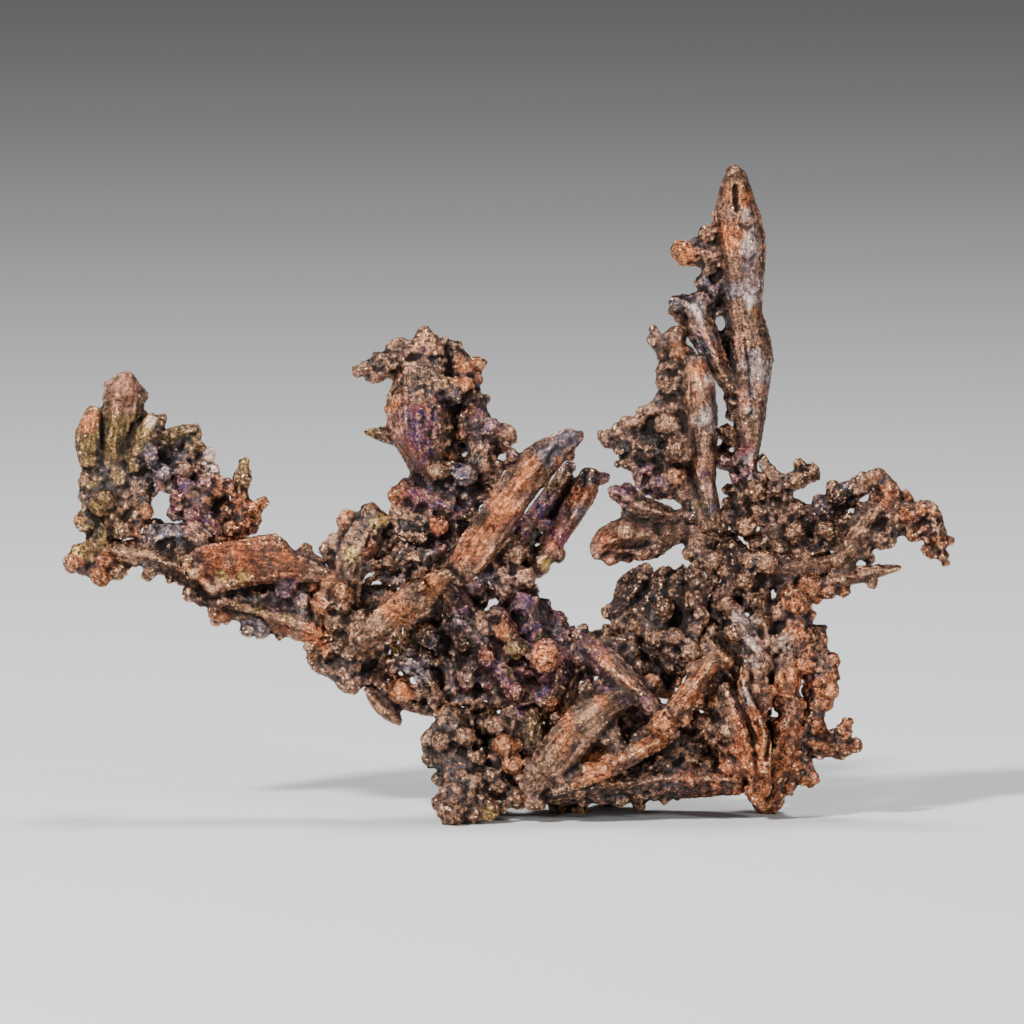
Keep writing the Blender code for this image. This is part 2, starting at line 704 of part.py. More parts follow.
# Each branch, from the ground up, with its copper: colour, roughness and metallic value. A branch
# is cut clear of every branch that stands above it in this list.
BRANCHES = (
    ("base_crust", base_crust, (0.30, 0.16, 0.10), 0.45, 0.9),
    ("lower_left_block", lower_left_block, (0.24, 0.13, 0.09), 0.50, 0.85),
    ("right_trunk", right_trunk, (0.46, 0.19, 0.10), 0.38, 0.95),
    ("centre_mass", centre_mass, (0.20, 0.13, 0.18), 0.40, 0.9),
    ("shoulder_cluster", shoulder_cluster, (0.18, 0.12, 0.09), 0.50, 0.85),
    ("granular_edge", granular_edge, (0.48, 0.20, 0.09), 0.45, 0.9),
    ("spire", spire, (0.40, 0.21, 0.16), 0.35, 0.95),
    ("spire_side", spire_side, (0.32, 0.18, 0.14), 0.42, 0.9),
    ("leaf_branch", leaf_branch, (0.27, 0.14, 0.10), 0.45, 0.9),
    ("short_fingers", short_fingers, (0.22, 0.15, 0.14), 0.45, 0.9),
    ("right_branch", right_branch, (0.45, 0.20, 0.10), 0.42, 0.9),
    ("blade_branch", blade_branch, (0.44, 0.20, 0.12), 0.36, 0.95),
    ("head_branch", head_branch, (0.34, 0.17, 0.14), 0.42, 0.9),
    ("arm_root", arm_root, (0.34, 0.21, 0.11), 0.45, 0.9),
    ("left_arm", left_arm, (0.40, 0.18, 0.12), 0.38, 0.95),
    ("left_bush", left_bush, (0.30, 0.14, 0.14), 0.42, 0.9),
    ("left_tip", left_tip, (0.28, 0.18, 0.11), 0.45, 0.9),
)


# ---------------------------------------------------------------- building

def copper(name, colour, roughness, metallic):
    """A copper finish for one branch."""
    material = bpy.data.materials.new(name)
    material.use_nodes = True
    shader = material.node_tree.nodes["Principled BSDF"]
    shader.inputs["Base Color"].default_value = (*colour, 1.0)
    shader.inputs["Roughness"].default_value = roughness
    shader.inputs["Metallic"].default_value = metallic
    return material


def joined_branch(name, shapes, grow):
    """All the shapes of a branch in one closed body, in the world's own directions."""
    work = new_group(f"{name}_work")
    made = make_shapes(name, shapes, grow, work)
    body = made[0]
    work.objects.unlink(body)
    bpy.context.scene.collection.objects.link(body)
    boolean(body, "UNION", work)
    clear_group(work)
    keep_main_body(body)
    body.data.transform(lean_matrix())
    return body


def floor_block(collection):
    """A block whose top is the floor."""
    bm = bmesh.new()
    bmesh.ops.create_cube(bm, size=1.0, matrix=Matrix.Translation((0.0, 0.0, -0.5)))
    return object_from_bmesh("floor_block", bm, collection)


def cut_branch(branch, kept, neighbours, floor):
    """Thins a branch's facets, then cuts it clear of its neighbours and flat at the floor."""
    thin_facets(branch, kept)
    if neighbours.objects:
        boolean(branch, "DIFFERENCE", neighbours)
    boolean(branch, "DIFFERENCE", floor)
    keep_main_body(branch)


def finished_branch(name, shapes, earlier, floor):
    """One branch with as few facets as still leave it whole."""
    branch = joined_branch(name, shapes, 0.0)
    joined = branch.data.copy()
    neighbours = new_group(f"{name}_neighbours")
    for other in earlier:
        if boxes_meet(branch, other):
            neighbours.objects.link(other)
    for kept in FACETS_KEPT:
        branch.data = joined.copy()
        cut_branch(branch, kept, neighbours, floor)
        if is_closed(branch):
            break
    bpy.data.collections.remove(neighbours)
    branch.name = name
    branch.data.name = name
    branch.data.shade_smooth()
    branch.data.set_sharp_from_angle(angle=SMOOTH_ANGLE)
    return branch


def build():
    """Builds every branch in a collection of the specimen's name, and keeps the cutters in another."""
    for obj in list(bpy.data.objects):
        bpy.data.objects.remove(obj)
    specimen = new_group("native_copper_nugget")
    cutters = new_group("cutters")
    floor_block(cutters)
    earlier = []
    floor = new_group("floor")
    floor.objects.link(cutters.objects["floor_block"])
    for name, shapes, colour, roughness, metallic in BRANCHES:
        branch = finished_branch(name, shapes(), earlier, floor)
        branch.data.materials.clear()
        branch.data.materials.append(copper(name, colour, roughness, metallic))
        bpy.context.scene.collection.objects.unlink(branch)
        specimen.objects.link(branch)
        clearance = joined_branch(f"{name}_clearance", shapes(), GAP_UNITS)
        bpy.context.scene.collection.objects.unlink(clearance)
        cutters.objects.link(clearance)
        earlier.append(clearance)
    bpy.data.collections.remove(floor)
    for cutter in cutters.objects:
        cutter.hide_render = True
        cutter.display_type = "WIRE"


build()
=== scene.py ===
# %% [markdown]
# # A branching native copper specimen
#
# Native copper grows as metal. Blades and fingers of copper shoot out, fork and fuse, and small
# round knobs crowd on them until the whole is one crusty body. This lesson takes a coarse solid
# model of such a specimen, split at its main forks, and grows the real surface on it: hundreds of
# knobs, a pitted skin, and the tarnish that runs from peach and brown to violet and steel blue.
#
# The first cell loads the coarse model. It is only looked at and copied, never changed.

# %% Load the coarse model
import math

import bmesh
import bpy
import numpy as np
from mathutils import Matrix, Vector
from mathutils.bvhtree import BVHTree


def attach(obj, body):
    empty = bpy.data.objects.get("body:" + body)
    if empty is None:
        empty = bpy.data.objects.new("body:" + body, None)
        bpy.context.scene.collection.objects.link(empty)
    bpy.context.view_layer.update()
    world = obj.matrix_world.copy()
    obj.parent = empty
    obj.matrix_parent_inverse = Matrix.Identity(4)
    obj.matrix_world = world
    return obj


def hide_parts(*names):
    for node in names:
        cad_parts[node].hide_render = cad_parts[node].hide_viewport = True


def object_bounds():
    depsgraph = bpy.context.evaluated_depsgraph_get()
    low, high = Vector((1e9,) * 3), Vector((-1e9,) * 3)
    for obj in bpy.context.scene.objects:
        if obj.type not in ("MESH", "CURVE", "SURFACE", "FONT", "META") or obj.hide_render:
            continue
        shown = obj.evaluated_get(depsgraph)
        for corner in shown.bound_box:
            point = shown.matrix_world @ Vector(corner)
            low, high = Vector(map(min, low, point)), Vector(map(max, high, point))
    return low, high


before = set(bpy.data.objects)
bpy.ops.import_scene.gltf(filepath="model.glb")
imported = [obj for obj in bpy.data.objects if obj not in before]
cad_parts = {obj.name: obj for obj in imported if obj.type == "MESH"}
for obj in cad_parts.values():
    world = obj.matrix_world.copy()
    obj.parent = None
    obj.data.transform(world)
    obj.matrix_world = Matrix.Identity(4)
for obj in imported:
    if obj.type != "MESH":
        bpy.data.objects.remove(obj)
cad_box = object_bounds()
branch_names = sorted(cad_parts)
print(len(branch_names), "branches in a box from", cad_box[0], "to", cad_box[1])

# %% [markdown]
# ## The drawing board
#
# A growth like this has no plan of measures, so it is easiest to draw. Every knob below is noted as
# a place on a drawing board that leans back six degrees: how far across, how far down, and its
# radius, all in board units of 0.17 mm. How deep it sits isn't drawn at all. It is found by looking
# straight into the board until the copper is hit, so each knob sits on the metal by itself.

# %% The board's units and directions
BOARD_UNIT = 0.00017
BOARD_LEAN = math.radians(6.0)
MIDDLE_ACROSS = 508.0
MIDDLE_BACK = 22.5
FLOOR_LINE = 817.5
LEAN = Matrix.Rotation(-BOARD_LEAN, 3, "X")
INTO_BOARD = LEAN @ Vector((0.0, 1.0, 0.0))


def from_board(across, down, back):
    """The place in the model, in metres, of a place on the leaning board."""
    upright = Vector((across - MIDDLE_ACROSS, back, FLOOR_LINE - down)) * BOARD_UNIT
    return LEAN @ upright - Vector((0.0, MIDDLE_BACK * BOARD_UNIT, 0.0))


def to_board(points):
    """Across, down and back on the board for an array of places in the model."""
    moved = points + np.array([0.0, MIDDLE_BACK * BOARD_UNIT, 0.0])
    upright = moved @ np.array(LEAN)
    return np.stack([
        upright[:, 0] / BOARD_UNIT + MIDDLE_ACROSS,
        FLOOR_LINE - upright[:, 2] / BOARD_UNIT,
        upright[:, 1] / BOARD_UNIT,
    ], axis=1)


print("one board unit is", BOARD_UNIT * 1000.0, "mm")

# %% [markdown]
# ## Tarnish colours
#
# Clean copper is salmon pink. In the ground it turns brown, olive and near black, and a thin film of
# oxide, like oil on water, makes violet, magenta and steel blue. Each tarnish here is a colour and a
# film value, which says how strongly those colours play over it. One letter names each of them.

# %% Name the tarnishes
TARNISH = {
    "b": ((0.155, 0.083, 0.055), 0.05),   # plain brown
    "o": ((0.440, 0.148, 0.058), 0.00),   # bright orange copper
    "p": ((0.430, 0.195, 0.125), 0.05),   # peach pink
    "r": ((0.265, 0.078, 0.034), 0.00),   # red copper
    "g": ((0.170, 0.110, 0.038), 0.05),   # olive gold
    "y": ((0.640, 0.410, 0.110), 0.00),   # brassy yellow
    "t": ((0.275, 0.150, 0.092), 0.00),   # tan
    "v": ((0.085, 0.050, 0.088), 0.80),   # violet film
    "m": ((0.190, 0.050, 0.068), 0.60),   # magenta film
    "s": ((0.120, 0.122, 0.150), 0.30),   # steel blue
    "w": ((0.540, 0.420, 0.390), 0.15),   # silvery pink
    # Nearly black is black oxide in places, and painted shade where it fills deep gaps.
    "k": ((0.026, 0.018, 0.015), 0.10),   # nearly black
}
print(len(TARNISH), "tarnishes")

# %% [markdown]
# ## The knobs, region by region
#
# These are the knobs that a maker would place one by one: across, down, radius and tarnish. They are grouped
# along the growth, from the tip of the long arm to the right-hand edge.

# %% Draw the knobs of the long arm
ARM_TIP_KNOBS = (
    (162, 420, 6, "k"), (138, 450, 9, "g"), (170, 438, 7, "g"), (193, 437, 8, "g"), (193, 448, 9, "g"),
    (193, 463, 7, "b"), (150, 455, 10, "s"), (175, 455, 8, "s"), (163, 475, 10, "s"), (147, 473, 6, "s"),
    (135, 465, 8, "g"), (140, 480, 9, "p"), (120, 478, 8, "g"), (105, 470, 6, "s"), (125, 500, 14, "t"),
    (135, 485, 9, "t"), (110, 490, 8, "s"), (88, 480, 9, "b"), (95, 490, 8, "g"), (85, 487, 6, "k"),
    (100, 505, 10, "g"), (112, 515, 8, "t"), (153, 492, 7, "v"), (140, 492, 7, "p"), (145, 512, 9, "o"),
    (80, 520, 7, "o"), (85, 525, 9, "g"), (95, 515, 9, "t"), (113, 527, 8, "o"), (132, 530, 9, "o"),
    (120, 510, 8, "t"), (95, 545, 12, "g"), (80, 560, 10, "r"), (100, 575, 10, "o"), (118, 572, 8, "g"),
    (92, 557, 8, "y"), (105, 560, 12, "r"), (136, 397, 7, "b"), (112, 398, 6, "b"), (106, 425, 6, "g"),
)
BUSH_KNOBS = (
    (180, 478, 9, "b"), (190, 485, 6, "v"), (178, 498, 8, "m"), (188, 502, 8, "g"), (172, 512, 6, "v"),
    (180, 515, 7, "s"), (195, 515, 8, "v"), (205, 512, 6, "v"), (205, 485, 8, "v"), (212, 473, 9, "w"),
    (207, 500, 7, "o"), (218, 480, 6, "r"), (218, 490, 8, "r"), (232, 490, 6, "r"), (240, 500, 7, "r"),
    (243, 478, 9, "g"), (252, 510, 9, "o"), (245, 522, 8, "r"), (218, 530, 6, "m"), (228, 512, 6, "o"),
    (155, 532, 7, "s"), (168, 538, 6, "s"), (181, 540, 7, "s"), (194, 531, 7, "p"), (203, 537, 7, "p"),
)
BEAM_KNOBS = (
    (180, 580, 6, "k"), (190, 592, 7, "k"), (200, 600, 6, "k"), (210, 603, 5, "k"), (217, 615, 7, "o"),
    (148, 577, 6, "g"), (278, 585, 6, "v"), (290, 588, 7, "m"), (275, 603, 10, "v"), (290, 598, 6, "s"),
    (312, 585, 8, "v"), (305, 597, 7, "s"), (303, 610, 7, "s"), (325, 602, 12, "o"), (330, 583, 9, "o"),
    (327, 595, 7, "b"), (343, 593, 12, "o"), (345, 578, 7, "b"), (343, 605, 8, "t"), (330, 612, 8, "g"),
    (340, 623, 8, "t"), (355, 627, 10, "t"), (363, 637, 8, "t"), (333, 637, 6, "b"), (308, 557, 8, "b"),
    (318, 562, 7, "b"), (310, 570, 6, "b"), (325, 575, 5, "b"), (225, 600, 8, "b"), (240, 600, 7, "k"),
    (255, 598, 8, "k"), (262, 590, 7, "r"),
)
ARM_ROOT_KNOBS = (
    (345, 520, 8, "o"), (335, 543, 9, "t"), (357, 520, 8, "g"), (370, 512, 8, "t"), (384, 520, 7, "y"),
    (326, 652, 8, "o"), (312, 656, 6, "b"), (335, 677, 6, "b"), (352, 683, 10, "b"), (350, 652, 8, "b"),
    (360, 655, 8, "b"), (370, 652, 8, "b"), (378, 645, 6, "b"), (383, 683, 7, "b"), (345, 665, 7, "b"),
    (330, 668, 6, "t"), (368, 672, 7, "b"), (340, 648, 7, "b"), (392, 668, 7, "b"), (356, 638, 8, "t"),
)
print(len(ARM_TIP_KNOBS + BUSH_KNOBS + BEAM_KNOBS + ARM_ROOT_KNOBS), "knobs on the long arm")

# %% Draw the knobs of the head and the middle
HEAD_KNOBS = (
    (395, 347, 8, "b"), (407, 345, 6, "b"), (456, 347, 8, "k"), (380, 358, 8, "b"), (368, 370, 9, "b"),
    (378, 375, 8, "b"), (390, 365, 9, "b"), (400, 360, 9, "b"), (410, 370, 7, "t"), (423, 373, 7, "t"),
    (438, 370, 8, "b"), (430, 385, 12, "t"), (445, 385, 9, "g"), (465, 367, 12, "o"), (465, 385, 9, "o"),
    (475, 380, 8, "o"), (475, 395, 7, "g"), (403, 380, 6, "r"), (447, 397, 9, "s"), (457, 392, 6, "b"),
    (470, 410, 10, "r"), (480, 415, 8, "v"), (490, 430, 10, "v"), (462, 432, 10, "o"), (475, 433, 7, "r"),
    (445, 427, 8, "t"), (444, 441, 8, "t"), (484, 448, 12, "p"), (482, 467, 13, "t"), (465, 475, 13, "s"),
    (437, 470, 12, "t"), (415, 474, 5, "g"), (447, 485, 5, "m"), (455, 495, 9, "g"), (470, 498, 8, "s"),
    (482, 497, 6, "v"), (450, 505, 9, "g"), (458, 515, 8, "m"), (440, 525, 11, "r"), (437, 545, 7, "v"),
    (405, 548, 10, "t"), (415, 557, 9, "t"), (424, 566, 10, "t"), (404, 562, 8, "b"), (430, 553, 8, "s"),
    (450, 540, 7, "p"), (413, 575, 8, "b"), (402, 492, 8, "o"), (418, 497, 9, "m"),
)
FINGER_KNOBS = (
    (512, 456, 7, "v"), (563, 470, 6, "v"), (550, 490, 7, "g"), (540, 505, 7, "v"), (545, 525, 8, "v"),
    (515, 555, 10, "t"), (503, 572, 10, "t"), (525, 577, 11, "t"), (503, 590, 9, "b"), (530, 560, 8, "m"),
    (545, 565, 6, "y"), (516, 568, 9, "b"), (533, 590, 7, "b"), (490, 592, 8, "b"), (556, 552, 7, "g"),
    (478, 590, 8, "v"), (494, 577, 7, "s"), (520, 520, 7, "v"), (575, 505, 6, "r"),
)
CENTRE_KNOBS = (
    (525, 603, 13, "v"), (544, 605, 8, "v"), (556, 620, 8, "v"), (566, 637, 10, "v"), (530, 630, 13, "v"),
    (483, 625, 13, "t"), (462, 610, 8, "v"), (460, 622, 7, "s"), (447, 625, 6, "s"), (465, 640, 9, "k"),
    (505, 630, 13, "o"), (545, 655, 15, "o"), (515, 647, 12, "g"), (487, 655, 8, "r"), (455, 655, 7, "k"),
    (500, 668, 11, "v"), (522, 668, 12, "m"), (510, 682, 11, "v"), (455, 687, 10, "b"), (467, 685, 7, "v"),
    (563, 670, 9, "v"), (515, 690, 10, "m"), (535, 695, 10, "v"), (551, 703, 9, "o"), (408, 637, 7, "g"),
    (418, 627, 6, "s"), (433, 640, 8, "s"), (398, 650, 6, "b"), (437, 615, 6, "s"), (402, 690, 13, "o"),
    (390, 680, 7, "k"), (445, 712, 8, "b"), (475, 700, 8, "b"), (558, 655, 7, "m"), (570, 655, 7, "v"),
    (474, 655, 9, "k"), (490, 682, 9, "v"), (540, 676, 9, "v"), (515, 612, 8, "s"), (497, 612, 8, "v"),
    (575, 648, 6, "v"), (440, 660, 8, "k"), (427, 650, 7, "k"), (470, 668, 8, "k"), (560, 690, 7, "b"),
)
BLOCK_KNOBS = (
    (445, 717, 9, "b"), (428, 737, 7, "t"), (437, 727, 7, "b"), (442, 740, 9, "b"), (425, 750, 4, "k"),
    (435, 757, 5, "b"), (465, 715, 9, "t"), (465, 736, 10, "t"), (478, 727, 5, "b"), (475, 743, 7, "b"),
    (488, 713, 8, "b"), (488, 725, 7, "t"), (480, 703, 7, "b"), (455, 790, 10, "b"), (472, 780, 11, "t"),
    (492, 760, 8, "b"), (492, 775, 8, "b"), (483, 800, 8, "b"), (505, 745, 12, "o"), (515, 745, 7, "o"),
    (512, 763, 11, "o"), (537, 742, 9, "b"), (528, 762, 6, "b"), (505, 725, 6, "b"), (453, 812, 11, "b"),
    (445, 806, 8, "b"), (461, 806, 8, "b"), (475, 815, 6, "b"), (488, 813, 8, "y"), (443, 762, 8, "b"),
    (452, 753, 8, "b"), (460, 765, 8, "b"), (440, 777, 8, "k"), (447, 790, 7, "k"), (470, 795, 7, "b"),
    (500, 785, 8, "b"), (455, 728, 8, "b"), (520, 733, 8, "b"), (498, 757, 7, "o"), (520, 775, 8, "b"),
    (431, 765, 5, "k"), (463, 700, 7, "k"), (505, 705, 8, "b"), (520, 715, 8, "v"),
)
print(len(HEAD_KNOBS + FINGER_KNOBS + CENTRE_KNOBS + BLOCK_KNOBS), "knobs in the middle")

# %% Draw the knobs of the base and the trunk
BASE_KNOBS = (
    (520, 800, 10, "b"), (560, 804, 10, "y"), (590, 768, 9, "o"), (590, 755, 5, "o"), (562, 780, 6, "o"),
    (608, 757, 6, "o"), (640, 750, 8, "o"), (575, 783, 6, "o"), (603, 768, 7, "o"), (620, 757, 7, "o"),
    (632, 752, 7, "t"), (655, 742, 7, "o"), (664, 735, 7, "o"), (580, 790, 6, "t"), (602, 783, 6, "b"),
    (625, 774, 6, "b"), (648, 764, 6, "b"), (652, 682, 9, "o"), (663, 722, 12, "o"), (684, 703, 8, "o"),
    (645, 775, 6, "b"), (665, 785, 7, "b"), (690, 780, 7, "r"), (715, 783, 7, "r"), (540, 803, 7, "b"),
    (585, 800, 6, "b"), (605, 799, 6, "b"), (625, 797, 6, "b"), (655, 795, 6, "b"), (735, 788, 7, "r"),
    (577, 668, 6, "v"), (600, 668, 6, "v"), (620, 730, 8, "b"), (636, 715, 8, "v"), (625, 700, 7, "v"),
    (605, 740, 8, "k"), (650, 755, 7, "b"), (596, 650, 7, "o"), (640, 690, 7, "b"), (548, 790, 7, "b"),
    (675, 765, 7, "b"), (700, 765, 7, "b"), (572, 808, 6, "b"),
)
SHOULDER_KNOBS = (
    (636, 627, 10, "b"), (663, 628, 6, "b"), (655, 637, 9, "t"), (675, 637, 8, "b"), (665, 608, 11, "b"),
    (693, 600, 10, "b"), (693, 574, 9, "k"), (706, 588, 8, "b"), (700, 613, 8, "b"), (697, 630, 6, "b"),
    (720, 605, 7, "b"), (690, 645, 7, "t"), (733, 633, 11, "t"), (724, 660, 9, "o"), (605, 628, 5, "k"),
    (612, 632, 6, "k"), (678, 580, 8, "k"), (622, 606, 8, "k"), (612, 610, 7, "k"), (648, 600, 7, "k"),
    (680, 615, 8, "b"), (650, 615, 8, "k"), (645, 643, 7, "b"), (668, 650, 8, "b"), (705, 648, 8, "t"),
    (712, 630, 8, "t"), (680, 597, 7, "k"), (656, 655, 8, "k"), (672, 665, 8, "k"), (640, 578, 7, "k"),
    (693, 668, 8, "b"), (708, 668, 8, "o"), (640, 655, 6, "k"), (630, 642, 7, "k"),
)
TRUNK_KNOBS = (
    (715, 720, 8, "b"), (722, 730, 9, "t"), (712, 738, 7, "t"), (728, 765, 9, "r"), (742, 590, 10, "b"),
    (793, 600, 15, "o"), (795, 632, 14, "o"), (748, 575, 11, "b"), (700, 735, 6, "b"), (735, 748, 7, "r"),
    (745, 765, 7, "o"), (758, 745, 6, "o"), (775, 750, 7, "o"), (765, 800, 10, "o"), (756, 795, 8, "o"),
    (775, 795, 8, "r"), (750, 790, 7, "r"), (737, 610, 7, "b"), (768, 625, 7, "t"), (783, 622, 8, "b"),
    (757, 655, 7, "b"), (740, 655, 6, "b"), (808, 615, 8, "o"), (806, 580, 8, "t"), (780, 580, 7, "b"),
    (768, 583, 7, "b"), (755, 612, 7, "b"), (716, 700, 7, "o"), (727, 680, 7, "r"), (770, 690, 6, "o"),
)
EDGE_KNOBS = (
    (800, 663, 9, "o"), (830, 660, 8, "o"), (817, 727, 8, "o"), (812, 635, 8, "b"), (822, 640, 7, "o"),
    (812, 650, 8, "o"), (822, 655, 8, "b"), (832, 675, 8, "o"), (820, 668, 8, "b"), (808, 675, 7, "o"),
    (830, 690, 8, "o"), (818, 685, 8, "o"), (806, 690, 7, "r"), (824, 703, 8, "o"), (812, 705, 8, "b"),
    (800, 703, 7, "o"), (805, 718, 8, "b"), (800, 730, 7, "o"), (793, 766, 9, "o"), (813, 779, 7, "o"),
    (771, 776, 10, "o"), (787, 787, 8, "o"), (843, 735, 7, "o"), (845, 749, 7, "r"), (828, 748, 7, "o"),
    (815, 745, 7, "o"), (795, 750, 8, "r"), (800, 755, 7, "b"), (847, 721, 6, "o"),
)
print(len(BASE_KNOBS + SHOULDER_KNOBS + TRUNK_KNOBS + EDGE_KNOBS), "knobs on the base and trunk")

# %% Draw the knobs of the spire and the right-hand branches
SPIRE_KNOBS = (
    (714, 214, 4, "o"), (710, 268, 9, "k"), (713, 290, 7, "s"), (677, 304, 8, "s"), (699, 302, 10, "s"),
    (684, 250, 10, "o"), (683, 260, 8, "o"), (698, 243, 8, "b"), (704, 257, 8, "b"), (716, 256, 8, "k"),
    (655, 341, 7, "b"), (675, 338, 11, "b"), (665, 355, 10, "b"), (678, 352, 10, "o"), (672, 366, 9, "b"),
    (668, 388, 8, "b"), (655, 410, 8, "t"), (670, 415, 10, "t"), (668, 427, 12, "t"), (647, 423, 6, "b"),
    (640, 420, 6, "b"), (608, 440, 8, "b"), (620, 432, 10, "t"), (625, 445, 8, "b"), (645, 432, 9, "k"),
    (650, 448, 10, "k"), (635, 447, 8, "b"), (670, 453, 11, "b"), (627, 461, 8, "b"), (655, 486, 9, "v"),
    (640, 490, 6, "v"), (675, 477, 10, "o"), (688, 507, 6, "k"), (726, 433, 9, "b"), (722, 460, 10, "v"),
    (755, 491, 9, "t"), (720, 517, 8, "b"), (745, 526, 11, "t"), (757, 512, 8, "b"), (712, 494, 4, "k"),
    (684, 375, 8, "b"), (690, 396, 7, "b"), (684, 440, 8, "t"), (682, 400, 8, "b"), (660, 398, 7, "b"),
    (618, 452, 6, "k"), (648, 470, 6, "v"), (733, 478, 6, "v"), (735, 505, 7, "k"), (668, 472, 7, "b"),
)
LEAF_KNOBS = (
    (657, 545, 10, "b"), (695, 545, 9, "b"), (690, 552, 7, "b"), (712, 561, 12, "b"), (625, 530, 10, "t"),
    (616, 492, 8, "v"), (628, 499, 7, "v"), (680, 528, 9, "b"), (695, 530, 8, "b"), (665, 532, 8, "b"),
    (708, 540, 8, "b"), (722, 548, 8, "k"), (733, 545, 9, "k"), (728, 560, 9, "k"), (702, 560, 7, "k"),
    (650, 520, 6, "b"), (640, 553, 7, "r"), (605, 548, 6, "r"),
)
RIGHT_KNOBS = (
    (773, 510, 8, "b"), (797, 510, 11, "b"), (812, 517, 9, "k"), (824, 508, 9, "s"), (836, 498, 9, "k"),
    (848, 490, 9, "s"), (857, 483, 5, "k"), (794, 531, 12, "b"), (825, 530, 10, "t"), (765, 532, 6, "b"),
    (778, 544, 8, "b"), (800, 550, 10, "t"), (825, 555, 8, "b"), (838, 560, 9, "t"), (880, 537, 9, "b"),
    (865, 551, 6, "b"), (875, 478, 10, "b"), (893, 508, 11, "b"), (913, 533, 8, "r"), (926, 550, 7, "r"),
    (813, 588, 9, "o"), (827, 590, 8, "o"), (813, 471, 7, "t"), (797, 480, 8, "b"), (783, 487, 7, "b"),
    (770, 495, 7, "b"), (886, 490, 8, "r"), (905, 515, 9, "r"), (920, 510, 8, "r"), (932, 512, 8, "r"),
    (935, 528, 7, "b"), (938, 542, 7, "r"), (942, 556, 6, "r"), (870, 560, 6, "b"), (858, 575, 7, "t"),
    (843, 578, 8, "b"), (850, 545, 8, "t"), (862, 530, 8, "b"), (872, 515, 8, "b"), (883, 503, 8, "r"),
    (783, 530, 8, "b"), (790, 545, 8, "b"), (812, 540, 8, "b"), (808, 560, 8, "b"), (840, 508, 7, "k"),
    (845, 568, 7, "t"), (760, 545, 8, "k"), (752, 555, 8, "k"), (785, 515, 7, "b"), (784, 562, 8, "k"),
)
DRAWN_KNOBS = (
    ARM_TIP_KNOBS + BUSH_KNOBS + BEAM_KNOBS + ARM_ROOT_KNOBS + HEAD_KNOBS + FINGER_KNOBS + CENTRE_KNOBS
    + BLOCK_KNOBS + BASE_KNOBS + SHOULDER_KNOBS + TRUNK_KNOBS + EDGE_KNOBS + SPIRE_KNOBS + LEAF_KNOBS
    + RIGHT_KNOBS
)
print(len(DRAWN_KNOBS), "drawn knobs in all")
